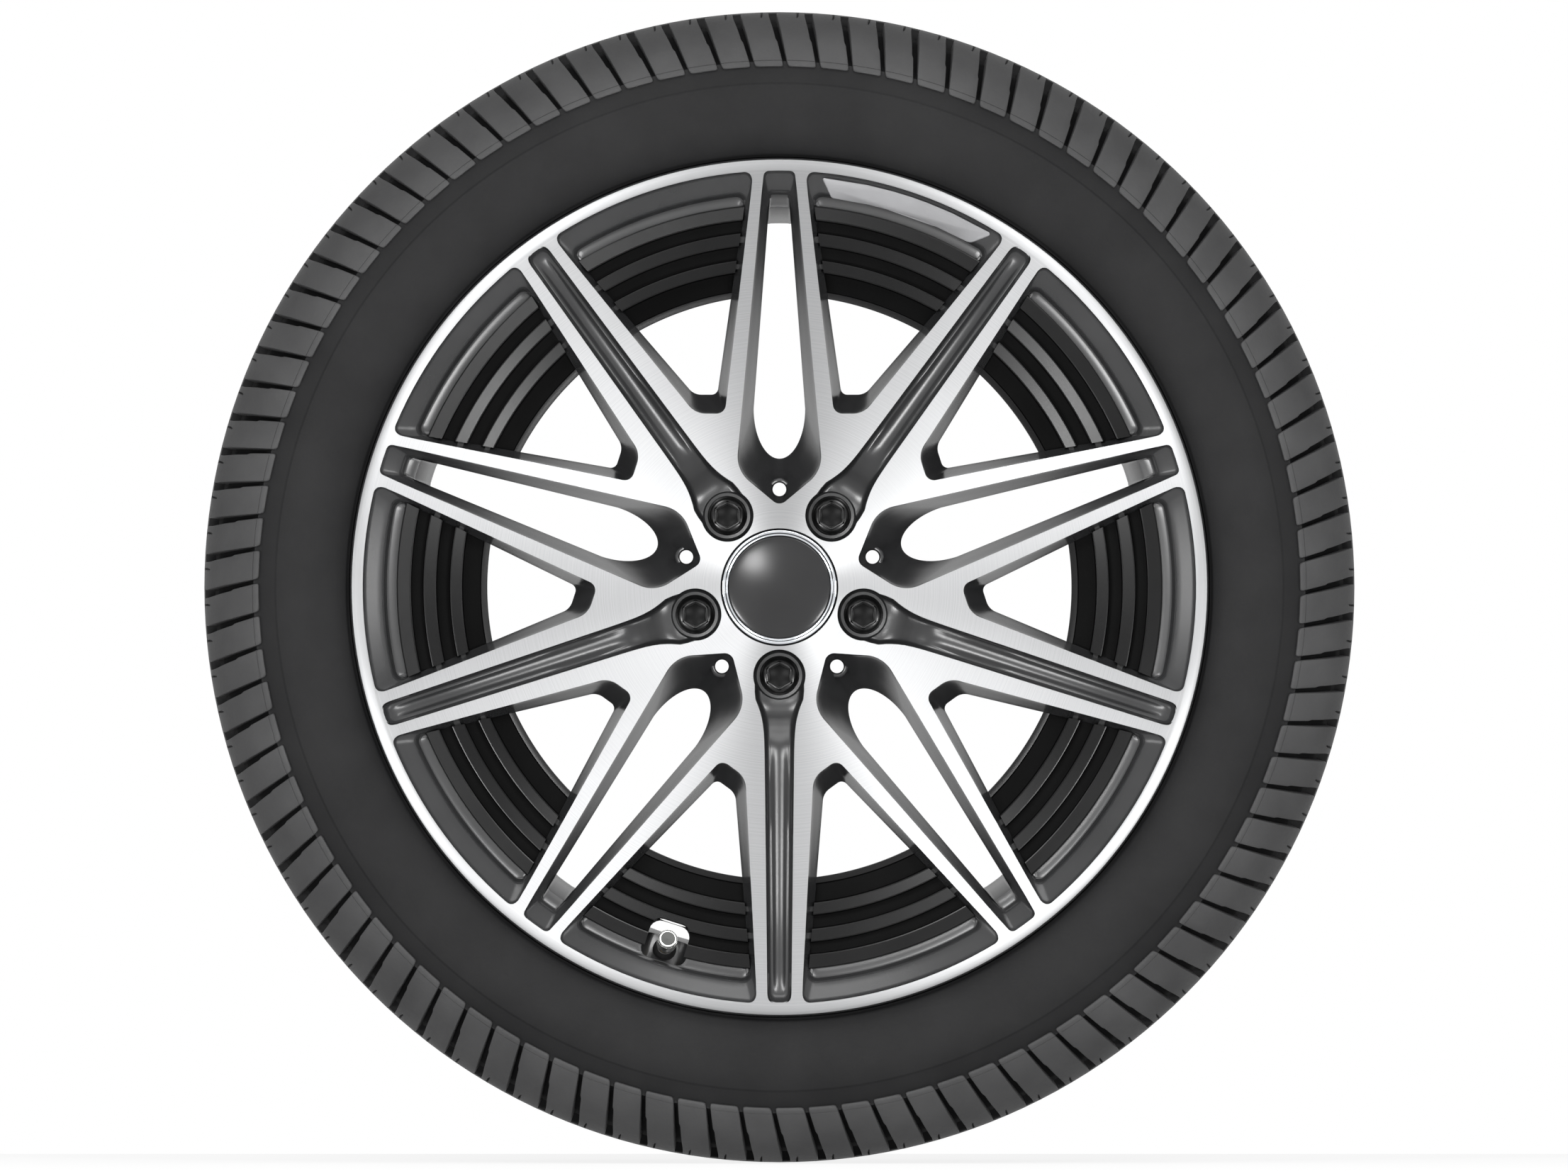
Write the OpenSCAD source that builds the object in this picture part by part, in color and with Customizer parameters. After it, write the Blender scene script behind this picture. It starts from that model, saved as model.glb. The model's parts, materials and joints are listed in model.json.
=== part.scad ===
// Alloy wheel with ten aero inserts, fitted with a low-profile tyre.
// The shapes are drawn with the wheel's axis along z, its face towards +z and its mounting face at z = 0.
// At the end each one is turned so that the axis lies along y and the face looks towards -y.

/* [Rim] */
// Diameter of the rim where the tyre's beads sit
bead_d = 507.8; // [495:0.1:520]
// Width of the rim between its two flanges
rim_w = 241.3; // [228:0.1:255]
// Height of the flanges above the bead seats
flange_h = 17.6; // [17:0.1:19]
// Distance of the mounting face outboard of the rim's centre plane
wheel_offset = 38; // [30:1:45]
// Depth of the well below the bead seats
well_depth = 17.9; // [17:0.1:20]
// Wall thickness of the barrel at the well
barrel_wall = 5.5; // [5:0.1:7]
// Thickness of the front flange and lip along the axis
lip_t = 17; // [15:0.5:19]
// Thickness of the back flange along the axis
back_flange_t = 12; // [10:0.5:14]
// Width of the turned lip around the front face
lip_w = 7.5; // [6:0.5:10]

/* [Face] */
// Depth of the wheel at the hub, from the mounting face to the turned front face
hub_t = 42; // [38:1:46]
// Number of double spokes, and of single spokes between them
spoke_pairs = 5; // [5:1:5]
// Half width of a double spoke at the lip
double_half_rim = 16.1; // [15:0.1:18]
// Half width of a double spoke at its root
double_half_root = 34.4; // [33:0.1:35]
// Half width of a single spoke at the lip
single_half_rim = 14; // [13:0.1:16]
// Half width of a single spoke at its root
single_half_root = 21.3; // [20:0.1:22]
// Distance from the axis to the root edge of a side window
window_root = 109.6; // [106:0.5:114]
// Slope of a window's wall at the lip, in width
flare_rim = 3; // [2:0.1:4]
// Slope of a window's wall at the root, in width
flare_root = 7.5; // [6:0.1:8]
// Slope of a window's root wall, in width
flare_inner = 12.4; // [10:0.1:14]

/* [Double spoke slot] */
// Half width of the slot at the lip
slot_half_rim = 9.8; // [9:0.1:11]
// Half width of the slot at its widest, near the hub
slot_half_root = 27.6; // [26:0.1:28]
// Distance from the axis to the slot's widest place
slot_wide_r = 73.5; // [72:0.5:76]
// Distance from the axis to the slot's point
slot_tip_r = 50.6; // [50:0.1:53]
// Half width of the slot's through hole at the lip
slot_hole_rim = 4.6; // [4:0.1:6]
// Half width of the slot's through hole at its round end
slot_hole_root = 16.3; // [15:0.1:17]
// Distance from the axis to the end of the slot's through hole
slot_hole_tip_r = 81.5; // [80:0.5:84]
// Radius of the small through hole behind the slot's point
pin_hole_r = 4.3; // [3.5:0.1:5]
// Distance from the axis to that hole
pin_hole_at = 62; // [61:0.5:64]

/* [Single spoke groove] */
// Half width of the groove at the lip
groove_half_rim = 7.7; // [7:0.1:8]
// Half width of the groove at the end near the bolt
groove_half_root = 9.6; // [9:0.1:10.5]
// Depth of the groove below the turned face
groove_depth = 9; // [7:0.5:12]
// Radius of the round basin over each bolt
basin_r = 16.6; // [15.5:0.1:17.5]

/* [Hub] */
// Diameter of the centre bore
bore_d = 66.6; // [66:0.1:67.5]
// Depth of the centre bore's guiding wall
bore_len = 14; // [12:0.5:15]
// Diameter of the circle that the wheel bolts lie on
bolt_circle = 112; // [110:1:114]
// Radius of the mounting pad
pad_r = 76; // [74:1:80]
// Height of the basin's floor, where the bolts sit, above the mounting face
seat_z = 24; // [22:0.5:26]
// Diameter of a bolt's shank
bolt_d = 14; // [12:0.5:14.5]
// Diameter of a bolt's collar
collar_d = 24.4; // [23:0.1:25]
// Size across the flats of a bolt's head
head_af = 16.6; // [16:0.1:17]
// Size across the flats of the socket in a bolt's head
socket_af = 12.3; // [11:0.1:13]
// Height of a bolt's hexagon
head_h = 12.5; // [10:0.5:13]
// Length of thread that stands out behind the mounting face
bolt_reach = 25; // [20:1:30]
// Gap around a bolt in its hole
bolt_gap = 0.75; // [0.5:0.05:1]

/* [Centre cap] */
// Outer radius of the cap's bright ring
cap_r = 37; // [36:0.1:38]
// Outer radius of the cap's disc
cap_disc_r = 32.4; // [31:0.1:33]
// Height of the cap above its seat
cap_h = 7; // [6:0.5:8]

/* [Aero inserts] */
// Outer radius of the inserts
insert_r_out = 242.1; // [241.5:0.1:243]
// Inner radius of the inserts
insert_r_in = 184.8; // [180:0.1:188]
// Wall thickness of an insert
insert_wall = 2.4; // [2:0.1:3]
// Gap between an insert and the spokes beside it
insert_gap = 0.5; // [0.3:0.05:0.8]

/* [Tyre] */
// Outer diameter of the tyre
tyre_d = 729.2; // [715:0.1:740]
// Width of the tyre over its side walls
tyre_w = 278; // [274:1:282]
// Depth of the tread grooves
tread_depth = 6; // [5:0.5:7]
// Number of cross grooves around each shoulder
lug_count = 100; // [60:1:100]
// Width of a cross groove at the shoulder
lug_gap = 3.8; // [3:0.1:4.5]
// Lean of the cross grooves over the shoulder, in degrees
lug_lean = 13; // [0:1:18]
// Width of the grooves that run around the tread
rib_gap = 10; // [8:0.5:12]

/* [Valve] */
// Place of the valve around the wheel, in degrees clockwise from the top
valve_turn = 197.6; // [196.5:0.1:199]
// Radius where the valve's axis leaves the rim
valve_at_r = 240.5; // [239:0.1:242]
// Lean of the valve towards the axis, in degrees
valve_lean = 20; // [18:1:22]
// Radius of the valve hole
valve_hole_r = 5.65; // [5.4:0.05:6]
// Length of the valve stem outside the rim
stem_out = 19; // [18:0.5:20]
// Radius of the threaded stem
stem_r = 3.9; // [3.8:0.05:4]
// Outer radius of the valve cap
valve_cap_r = 6.3; // [6:0.1:6.8]
// Length of the valve cap
valve_cap_len = 11; // [10:0.5:12]
// Travel of the valve core's pin
pin_travel = 1.5; // [1:0.1:1.8]

/* [Hidden] */
$fn = 96;

fit = 0.15;
over = 1;
step = 360 / spoke_pairs;
sector = step / 2;

// Rim: radii and places along the axis
bead_r = bead_d / 2;
rim_r = bead_r + flange_h;
mid_z = -wheel_offset;
out_z = mid_z + rim_w / 2;
in_z = mid_z - rim_w / 2;
seat_slope = tan(5);
seat_len = 18;
well_r = bead_r - well_depth;
barrel_r = well_r - barrel_wall;
lip_r = rim_r - lip_w - 0.5;
lip_z = out_z + lip_t;
curl = 7;
hump = 0.8;
ledge_t = 5.7;
ledge_r = bead_r - ledge_t;
ledge_lap = 1.6;
ledge_in_r = insert_r_out - ledge_lap;
ledge_z = out_z - 2.6;

// Face: part of a large sphere, from the hub up to the lip
face_rise = lip_z - 0.7 - hub_t;
face_d = (lip_r * lip_r - cap_r * cap_r - face_rise * face_rise) / (2 * face_rise);
face_R = sqrt(lip_r * lip_r + face_d * face_d);
face_c = lip_z - 0.7 + face_d;
spoke_back_rim = ledge_z - 20;
wall_slope = 0.44;
wall_z_rim = ledge_z - 2;
wall_rim_r = ledge_r - 6.1;

// Tyre section
section_h = tyre_d / 2 - bead_r;
side_R = section_h / 2 - 0.35;
side_c = [bead_r + section_h / 2 - 5.35, tyre_w / 2 - side_R];
side_wall = 9;
bead_wall = 10.5;
shoulder_R = side_R - 10.5;
shoulder_c = [tyre_d / 2 - shoulder_R - 0.1, side_c[1] + 7];
tread_r = shoulder_c[0] + 9.5;
crown_t = 14.5;
crown_flat = tyre_w / 2 - 94;
crown_edge = [tyre_d / 2 - 4.2, tyre_w / 2 - 29];
rib_out = tyre_w / 2 - 69;
rib_in = 24;
rib_places = [-rib_out, -rib_in, rib_in, rib_out];
lug_inner_w = rib_out + 4;

// Bolts: the neck is thinner than the thread, which ends just behind the mounting face
neck_r = bolt_d / 2 - 0.4;
neck_gap = 0.5;
seat_cone = 10;

// Valve, measured along its own axis from its seat on the rim
valve_seat_z = ledge_z - 20;
spot_r = 14;
notch_r = spot_r - 1;
rubber_r = 7.4;
rubber_foot_r = 9.2;
valve_wall = 10;
stem_in = 17;
stem_bore_r = 2.55;
core_r = 2.4;
core_len = 12;
core_bore_r = 1.25;
pin_r = 1.15;
pin_sunk = 0.4;
core_top = stem_out - pin_sunk - pin_travel - 0.2;
pin_foot_h = 2;
pin_low = core_top - core_len - 0.4 - pin_foot_h;
screw_r = 1.7;
screw_in = 3.2;
cap_wall_end = 1.6;
seal_t = 1.2;
thread_gap = 0.1;
cap_mouth = stem_out + seal_t + cap_wall_end - valve_cap_len;
sensor_size = [44, 27, 15];
sensor_shift = 6;

// Height of the turned face at a radius
function face_z(r) = face_c - sqrt(face_R * face_R - r * r);

// Height where a window's sloping wall turns straight
function wall_z(r) = wall_z_rim - wall_slope * (wall_rim_r - r);

function unit(v) = v / norm(v);
function lerp(a, b, t) = a + (b - a) * t;
function turned(p, a) = [p[0] * cos(a) + p[1] * sin(a), p[1] * cos(a) - p[0] * sin(a)];

// Points of a round corner at p, between the lines towards a and b
function corner(a, p, b, r, n) =
    let (u = unit(a - p), v = unit(b - p), half = acos(u * v) / 2)
    let (c = p + unit(u + v) * r / sin(half), s = p + u * r / tan(half), e = p + v * r / tan(half))
    let (a0 = atan2(s[1] - c[1], s[0] - c[0]), a1 = atan2(e[1] - c[1], e[0] - c[0]))
    let (da = a1 - a0 > 180 ? a1 - a0 - 360 : a1 - a0 < -180 ? a1 - a0 + 360 : a1 - a0)
    [for (i = [0 : n]) c + r * [cos(a0 + da * i / n), sin(a0 + da * i / n)]];

// A cutter through stacked outlines: each level holds the outline's points with their heights
module stack(levels) {
    n = len(levels[0]);
    m = len(levels);
    sides = [for (k = [0 : m - 2]) for (i = [0 : n - 1]) for (t = [0, 1])
        t == 0 ? [k * n + i, k * n + (i + 1) % n, (k + 1) * n + (i + 1) % n]
               : [k * n + i, (k + 1) * n + (i + 1) % n, (k + 1) * n + i]];
    polyhedron(
        points = [for (level = levels) for (p = level) p],
        faces = concat([[for (i = [n - 1 : -1 : 0]) i]], sides, [[for (i = [0 : n - 1]) (m - 1) * n + i]]),
        convexity = 6);
}

// Turns an outline on the face and one at the bottom of the sloping wall into a cutter
module window_cut(face_line, back_line) {
    top = lip_z + 20;
    low = -over;
    lift = 2;
    n = len(face_line);
    rise = [for (i = [0 : n - 1])
        let (fz = face_z(norm(face_line[i])), bz = wall_z(norm(back_line[i])))
        concat(lerp(back_line[i], face_line[i], 1 + lift / (fz - bz)), fz + lift)];
    stack([
        [for (p = rise) [p[0], p[1], top]],
        rise,
        [for (p = back_line) [p[0], p[1], wall_z(norm(p))]],
        [for (p = back_line) [p[0], p[1], low]]]);
}

// Outline of a side window beside the double spoke that points up
function side_window(flare_a, flare_b, inner, radii) =
    let (ya = window_root + inner, arc_r = lip_r + 3)
    let (left_out = [double_half_rim + flare_a, lip_r])
    let (left_in = [double_half_root + flare_b * 0.9, window_root])
    let (right_out = turned([-single_half_rim - flare_a, lip_r], sector))
    let (right_in = turned([-single_half_root - flare_b, window_root + 11], sector))
    let (li = lerp(left_in, left_out, inner / (lip_r - window_root)))
    let (ri = lerp(right_in, right_out, (ya - right_in[1]) / (right_out[1] - right_in[1])))
    let (a0 = atan2(left_out[0], left_out[1]) + 1.6, a1 = atan2(right_out[0], right_out[1]) - 1.6)
    let (lo = unit(left_out) * arc_r, ro = unit(right_out) * arc_r)
    concat(
        corner(lo, li, ri, radii[0], 4),
        corner(li, ri, ro, radii[1], 6),
        corner(ri, ro, arc_r * [sin(a1), cos(a1)], radii[2], 3),
        [for (i = [1 : 5]) let (a = lerp(a1, a0, i / 6)) arc_r * [sin(a), cos(a)]],
        corner(arc_r * [sin(a0), cos(a0)], lo, li, radii[2], 3));

window_front = side_window(0, 0, 0, [6, 14, 6]);
window_back = side_window(flare_rim, flare_root, flare_inner, [4, 10, 4]);

// Right half of the slot in a double spoke, at the turned face
function slot_face_half() =
    let (tip = [0, slot_tip_r], wide = [slot_half_root, slot_wide_r], top = [slot_half_rim, lip_r + 3])
    let (round_tip = corner([-wide[0], wide[1]], tip, wide, 6, 6))
    concat(
        [for (i = [3 : 6]) round_tip[i]],
        corner(tip, wide, top, 20, 7),
        corner(wide, top, [0, top[1]], 4, 3));

function slot_hole_half() =
    let (cy = slot_hole_tip_r + 31.5, top = [slot_hole_rim, lip_r + 2])
    concat(
        [for (i = [0 : 11]) let (a = 90 * i / 11) [slot_hole_root * sin(a), cy - 31.5 * cos(a)]],
        corner([slot_hole_root, cy], top, [0, top[1]], 2.5, 3));

function closed(half) = concat(
    half,
    [for (i = [len(half) - 1 : -1 : 1]) [-half[i][0], half[i][1]]]);

// Half width of the groove in a single spoke, at the face, at a distance u from the axis
function groove_half(u) =
    let (run = lerp(groove_half_root, groove_half_rim, (u - 97) / (lip_r - 97)))
    min(run + 9.5 * exp(-pow((u - bolt_circle / 2) / 22, 2)), basin_r - 0.8);

// Height of the groove's floor, which climbs out of the bolt's basin
function groove_floor(u) =
    let (t = min(max((u - bolt_circle / 2 - basin_r) / 30, 0), 1))
    let (rim_t = max((u - ledge_in_r + 40) / 60, 0))
    lerp(seat_z + 0.6, face_z(u) - groove_depth + 3.5 * rim_t, t * t * (3 - 2 * t));

groove_stations = concat(
    [for (u = [bolt_circle / 2 + 5, 68, 73, 78, 84, 92, 101]) u],
    [for (i = [0 : 5]) lerp(115, lip_r - 4, i / 5)],
    [lip_r - 1.8]);

function groove_section(u) =
    let (last = u > lip_r - 3, a = groove_half(u) - (last ? 1.6 : 0), inset = 1.7)
    let (b = a - inset, zt = face_z(u) + 3, zb = groove_floor(u) + (last ? 2 : 0))
    let (at = a + inset * 3 / (zt - zb))
    [[at, u, zt], [-at, u, zt], [-b, u, zb], [0, u, zb + 1], [b, u, zb]];

module groove_cut() {
    rows = [for (u = groove_stations) groove_section(u)];
    n = 5;
    m = len(rows);
    sides = [for (k = [0 : m - 2]) for (i = [0 : n - 1]) for (t = [0, 1])
        t == 0 ? [k * n + i, k * n + (i + 1) % n, (k + 1) * n + (i + 1) % n]
               : [k * n + i, (k + 1) * n + (i + 1) % n, (k + 1) * n + i]];
    polyhedron(
        points = [for (row = rows) for (p = row) p],
        faces = concat([[4, 3, 2, 1, 0]], sides, [[for (i = [0 : 4]) (m - 1) * n + i]]),
        convexity = 4);
}

// Section of the rim, as radius and height
rim_section = [
    [rim_r - 3, lip_z], [rim_r - 0.8, lip_z - 0.9], [rim_r, lip_z - 3],
    [rim_r, out_z + curl + 1], [rim_r - 1, out_z + curl - 3], [rim_r - 3.5, out_z + 1.2],
    [rim_r - curl, out_z], [bead_r + 3, out_z], [bead_r, out_z - 2.5],
    [bead_r - seat_len * seat_slope, out_z - seat_len],
    [bead_r + hump, out_z - seat_len - 3.5], [bead_r + hump, out_z - seat_len - 5],
    [bead_r - 2.5, out_z - seat_len - 8],
    [well_r, out_z - seat_len - 19], [well_r, out_z - seat_len - 62],
    [bead_r - 6, in_z + 48], [bead_r - 3, in_z + seat_len + 8],
    [bead_r + hump, in_z + seat_len + 5], [bead_r + hump, in_z + seat_len + 3.5],
    [bead_r - seat_len * seat_slope, in_z + seat_len],
    [bead_r, in_z + 2.5], [bead_r + 3, in_z],
    [rim_r - curl, in_z], [rim_r - 3.5, in_z - 1.2], [rim_r - 1, in_z - curl + 3],
    [rim_r, in_z - curl - 1], [rim_r, in_z - back_flange_t + 2], [rim_r - 2, in_z - back_flange_t],
    [bead_r + 5, in_z - back_flange_t], [bead_r + 2, in_z - back_flange_t + 3],
    [bead_r - 1, in_z - 3], [bead_r - barrel_wall - 1.6, in_z + 3],
    [bead_r - barrel_wall - 2.5, in_z + 48], [barrel_r, out_z - seat_len - 62],
    [barrel_r, ledge_z - 30], [ledge_in_r - 1.5, ledge_z - 3], [ledge_in_r, ledge_z],
    [ledge_r - 1, ledge_z], [ledge_r, ledge_z + 1], [ledge_r + 1.5, ledge_z + 7.5],
    [lip_r - 3.5, lip_z - 5], [lip_r - 0.8, lip_z - 3.2], [lip_r, lip_z - 1.2], [lip_r, lip_z]];

// The solid disc that the spokes are cut from
module spoke_disc() {
    rotate_extrude() polygon([
        [bore_d / 2, 0], [pad_r, 0], [pad_r + 4, 6], [barrel_r - 4, spoke_back_rim - 2],
        [ledge_r - 2, spoke_back_rim], [ledge_r + 1, ledge_z], [lip_r + 1.4, lip_z - 6],
        [lip_r + 1.4, lip_z + over], [bore_d / 2, lip_z + over]]);
}

module at_bolts() {
    for (i = [0 : spoke_pairs - 1])
        rotate([0, 0, -sector - i * step]) translate([0, bolt_circle / 2, 0]) children();
}

// Moves a child drawn along +z to the valve's seat, leaning towards the axis
module at_valve() {
    rotate([0, 0, -valve_turn]) translate([0, valve_at_r, valve_seat_z])
        rotate([valve_lean, 0, 0]) children();
}

module spokes() {
    difference() {
        spoke_disc();
        for (i = [0 : spoke_pairs - 1]) rotate([0, 0, -i * step]) {
            window_cut(closed(slot_face_half()), closed(slot_hole_half()));
            window_cut(window_front, window_back);
            mirror([1, 0, 0]) window_cut(window_front, window_back);
        }
    }
}

module wheel() {
    color([0.80, 0.80, 0.82])
    difference() {
        union() {
            rotate_extrude() polygon(rim_section);
            spokes();
        }
        translate([0, 0, face_c]) sphere(r = face_R, $fn = 360);
        for (i = [0 : spoke_pairs - 1]) rotate([0, 0, -i * step]) {
            rotate([0, 0, -sector]) groove_cut();
            translate([0, pin_hole_at, -over]) cylinder(r = pin_hole_r, h = hub_t);
        }
        at_bolts() {
            translate([0, 0, seat_z])
                cylinder(r1 = basin_r - 1.6, r2 = basin_r + 0.6, h = hub_t - seat_z + 6);
            translate([0, 0, -over]) cylinder(r = bolt_d / 2 + bolt_gap, h = seat_z);
            translate([0, 0, seat_z - seat_cone])
                cylinder(r1 = bolt_d / 2 + bolt_gap, r2 = collar_d / 2 + 0.3, h = seat_cone - 2);
            translate([0, 0, seat_z - 2]) cylinder(r = collar_d / 2 + 0.3, h = 3);
        }
        translate([0, 0, bore_len]) cylinder(r = cap_disc_r + 2.6, h = hub_t);
        translate([0, 0, hub_t - cap_h]) cylinder(r = cap_r + 0.3, h = hub_t);
        at_valve() {
            cylinder(r = spot_r, h = 40);
            translate([0, 0, -30]) cylinder(r = valve_hole_r, h = 60);
            translate([0, 0, -valve_wall - 25]) cylinder(r = rubber_foot_r + 0.8, h = 25);
        }
    }
}

// Half of the tyre's section is drawn as radius and distance from the centre plane
module tyre_outer() {
    foot = [bead_r - seat_len * seat_slope + fit, rim_w / 2 - seat_len];
    edge = [rim_r + 0.4, rim_w / 2 + curl + 1.2];
    half = [
        foot, [bead_r + fit, rim_w / 2 - 2.6], [bead_r + 3, rim_w / 2 - fit],
        [rim_r - curl + 0.2, rim_w / 2 - fit], [rim_r - 3.3, rim_w / 2 + 0.9],
        [rim_r - 0.8, rim_w / 2 + curl - 3.4], edge];
    polygon(concat([for (p = half) [p[0], -p[1]]], [for (i = [len(half) - 1 : -1 : 0]) half[i]]));
    translate([rim_r + 0.3, -side_c[1]]) square([tyre_d / 2 - crown_t - rim_r, 2 * side_c[1]]);
    for (s = [-1, 1]) intersection() {
        translate([side_c[0], s * side_c[1]]) circle(r = side_R, $fn = 180);
        translate([edge[0] - 0.25, -tyre_w]) square([section_h, 2 * tyre_w]);
    }
}

// The tread's outer shape, drawn in by a depth: nearly flat, and falling a little to its edges
module crown(depth) {
    r = tyre_d / 2 - depth;
    fall = tyre_d / 2 - crown_edge[0];
    mid_w = (crown_flat + crown_edge[1]) / 2;
    half = [[r, crown_flat], [r - fall * 0.35, mid_w], [r - fall, crown_edge[1]],
        [r - fall * 2, 2 * crown_edge[1]], [0, 2 * crown_edge[1]]];
    polygon(concat(half, [for (i = [len(half) - 1 : -1 : 0]) [half[i][0], -half[i][1]]]));
}

module tyre_tread() {
    intersection() {
        union() {
            for (s = [-1, 1])
                translate([shoulder_c[0], s * shoulder_c[1]]) circle(r = shoulder_R, $fn = 180);
            translate([shoulder_c[0], -shoulder_c[1]]) square([shoulder_R + over, 2 * shoulder_c[1]]);
        }
        translate([tread_r, -tyre_w]) square([section_h, 2 * tyre_w]);
        crown(0);
    }
}

module tyre_cavity() {
    in_r = bead_r + 12;
    bead_w = rim_w / 2 - bead_wall;
    w = min(side_c[1] + sqrt(pow(side_R - side_wall, 2) - pow(side_c[0] - in_r, 2)), bead_w);
    foot_w = rim_w / 2 - seat_len + 0.3;
    half = [[in_r, bead_w], [in_r + 40, bead_w + 60], [tyre_d / 2, bead_w + 60]];
    polygon([[bead_r - 10, -foot_w], [bead_r - 1.2, -foot_w], [in_r + 0.5, -w], [in_r + 0.5, w],
        [bead_r - 1.2, foot_w], [bead_r - 10, foot_w]]);
    intersection() {
        union() {
            for (s = [-1, 1])
                translate([side_c[0], s * side_c[1]]) circle(r = side_R - side_wall, $fn = 180);
            translate([in_r, -side_c[1]]) square([tyre_d / 2 - in_r, 2 * side_c[1]]);
        }
        polygon(concat([for (p = half) [p[0], -p[1]]], [for (i = [2 : -1 : 0]) half[i]]));
        crown(crown_t);
    }
}

// One cross groove: the band under the tread's skin, as a leaning plate
module lug_cut() {
    mid = (tread_r + tyre_d / 2) / 2;
    floor_R = shoulder_R - tread_depth;
    arc = [for (a = [4 : 19 : 80]) shoulder_c + floor_R * [sin(a), cos(a)]];
    band = concat(
        [[tread_r - 1.5, tyre_w / 2 + over], [tread_r - 1.5, shoulder_c[1] + floor_R]],
        [for (p = arc) if (p[0] > tread_r) p],
        [[crown_edge[0] - tread_depth, crown_edge[1] - 12], [tyre_d / 2 - tread_depth, lug_inner_w]],
        [[tyre_d / 2 + over, lug_inner_w], [tyre_d / 2 + over, tyre_w / 2 + over]]);
    rotate([0, 0, 90]) translate([mid, 0, 0]) rotate([0, 0, lug_lean]) translate([-mid, 0, 0])
        rotate([90, 0, 0]) linear_extrude(height = lug_gap, center = true) polygon(band);
}

module tyre() {
    color([0.12, 0.12, 0.13])
    translate([0, 0, mid_z])
    difference() {
        rotate_extrude() {
            difference() {
                union() {
                    tyre_outer();
                    tyre_tread();
                }
                tyre_cavity();
                for (w = rib_places) translate([tyre_d / 2 - tread_depth - 1.5, w - rib_gap / 2])
                    square([tread_depth + 5, rib_gap]);
            }
        }
        for (s = [0, 1]) mirror([0, 0, s])
            for (i = [0 : lug_count - 1]) rotate([0, 0, -(i + s / 2) * 360 / lug_count]) lug_cut();
    }
}

// Section of an insert: a stepped plate that falls towards its inner edge
insert_unit = (insert_r_out - insert_r_in) / 57.3;
insert_drops = [
    [0, 0], [9, 0], [9.4, -9], [16.4, -10], [16.8, -6], [25, -8], [25.4, -18], [33.2, -19],
    [33.6, -14], [41.3, -16], [41.8, -27], [53.1, -31], [53.3, -30], [57.3, -30]];
insert_steps = [for (p = insert_drops) [insert_r_out - p[0] * insert_unit, p[1]]];
insert_top = ledge_z + insert_wall;

// Which way the underside steps over, so that the upright walls keep their thickness
insert_shift = [0, 1, 1, -1, -1, 1, 1, -1, -1, 1, 1, 0, 0, 0];

// The plan of an insert: the window's back outline drawn in by the gap at its sides
module insert_plan(inset) {
    li = [double_half_root + flare_root * 0.9, window_root];
    lo = [double_half_rim + flare_rim, lip_r];
    ri = turned([-single_half_root - flare_root, window_root + 11], sector);
    ro = turned([-single_half_rim - flare_rim, lip_r], sector);
    n1 = unit([lo[1] - li[1], li[0] - lo[0]]) * inset;
    n2 = unit([ri[1] - ro[1], ro[0] - ri[0]]) * inset;
    d1 = unit(lo - li) * 12;
    d2 = unit(ro - ri) * 12;
    polygon([li + n1, ri + n2, ro + n2 + d2, lo + n1 + d1]);
}

module insert_shape() {
    n = len(insert_steps);
    top = [for (p = insert_steps) [p[0], insert_top + p[1]]];
    low = [for (i = [n - 1 : -1 : 0])
        [insert_steps[i][0] + insert_shift[i] * insert_wall, insert_top + insert_steps[i][1] - insert_wall]];
    intersection() {
        rotate([0, 0, 90 - sector]) rotate_extrude(angle = sector, $fn = 180) polygon(concat(top, low));
        linear_extrude(height = lip_z) insert_plan(insert_gap);
    }
}

module aero_insert(i) {
    turn = (i - 1) * sector;
    notched = abs(turn + sector / 2 - valve_turn) < sector / 2;
    color([0.07, 0.07, 0.08])
    difference() {
        rotate([0, 0, -floor(i / 2) * step])
            mirror([(i + 1) % 2, 0, 0]) insert_shape();
        if (notched) at_valve() {
            translate([0, 0, -5]) cylinder(r = notch_r, h = lip_z);
            translate([-notch_r, 0, -5]) cube([2 * notch_r, rim_r, lip_z]);
        }
    }
}

module wheel_bolt(i) {
    color([0.10, 0.10, 0.11])
    rotate([0, 0, -sector - (i - 1) * step]) translate([0, bolt_circle / 2, 0])
    rotate([0, 0, sector + (i - 1) * step + 30])
    difference() {
        union() {
            translate([0, 0, -bolt_reach]) cylinder(r1 = bolt_d / 2 - 1, r2 = bolt_d / 2, h = 1);
            translate([0, 0, 1 - bolt_reach]) cylinder(r = bolt_d / 2, h = bolt_reach - 1 - neck_gap);
            translate([0, 0, -neck_gap - over])
                cylinder(r = neck_r, h = neck_gap + over + seat_z - seat_cone);
            translate([0, 0, seat_z - seat_cone])
                cylinder(r1 = neck_r, r2 = collar_d / 2 - 0.2, h = seat_cone - 2);
            translate([0, 0, seat_z - 2]) cylinder(r = collar_d / 2, h = 4);
            translate([0, 0, seat_z + 2]) cylinder(r1 = collar_d / 2, r2 = head_af / sqrt(3), h = 1.4);
            translate([0, 0, seat_z + 2]) intersection() {
                cylinder(r = head_af / sqrt(3), h = head_h, $fn = 6);
                cylinder(r1 = head_af / 2 + head_h + 0.4, r2 = head_af / 2 + 0.4, h = head_h);
            }
        }
        translate([0, 0, seat_z + head_h - 6]) cylinder(r = socket_af / sqrt(3), h = 9, $fn = 6);
    }
}

cap_seat_z = hub_t - cap_h;
clip_t = 2.2;

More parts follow.
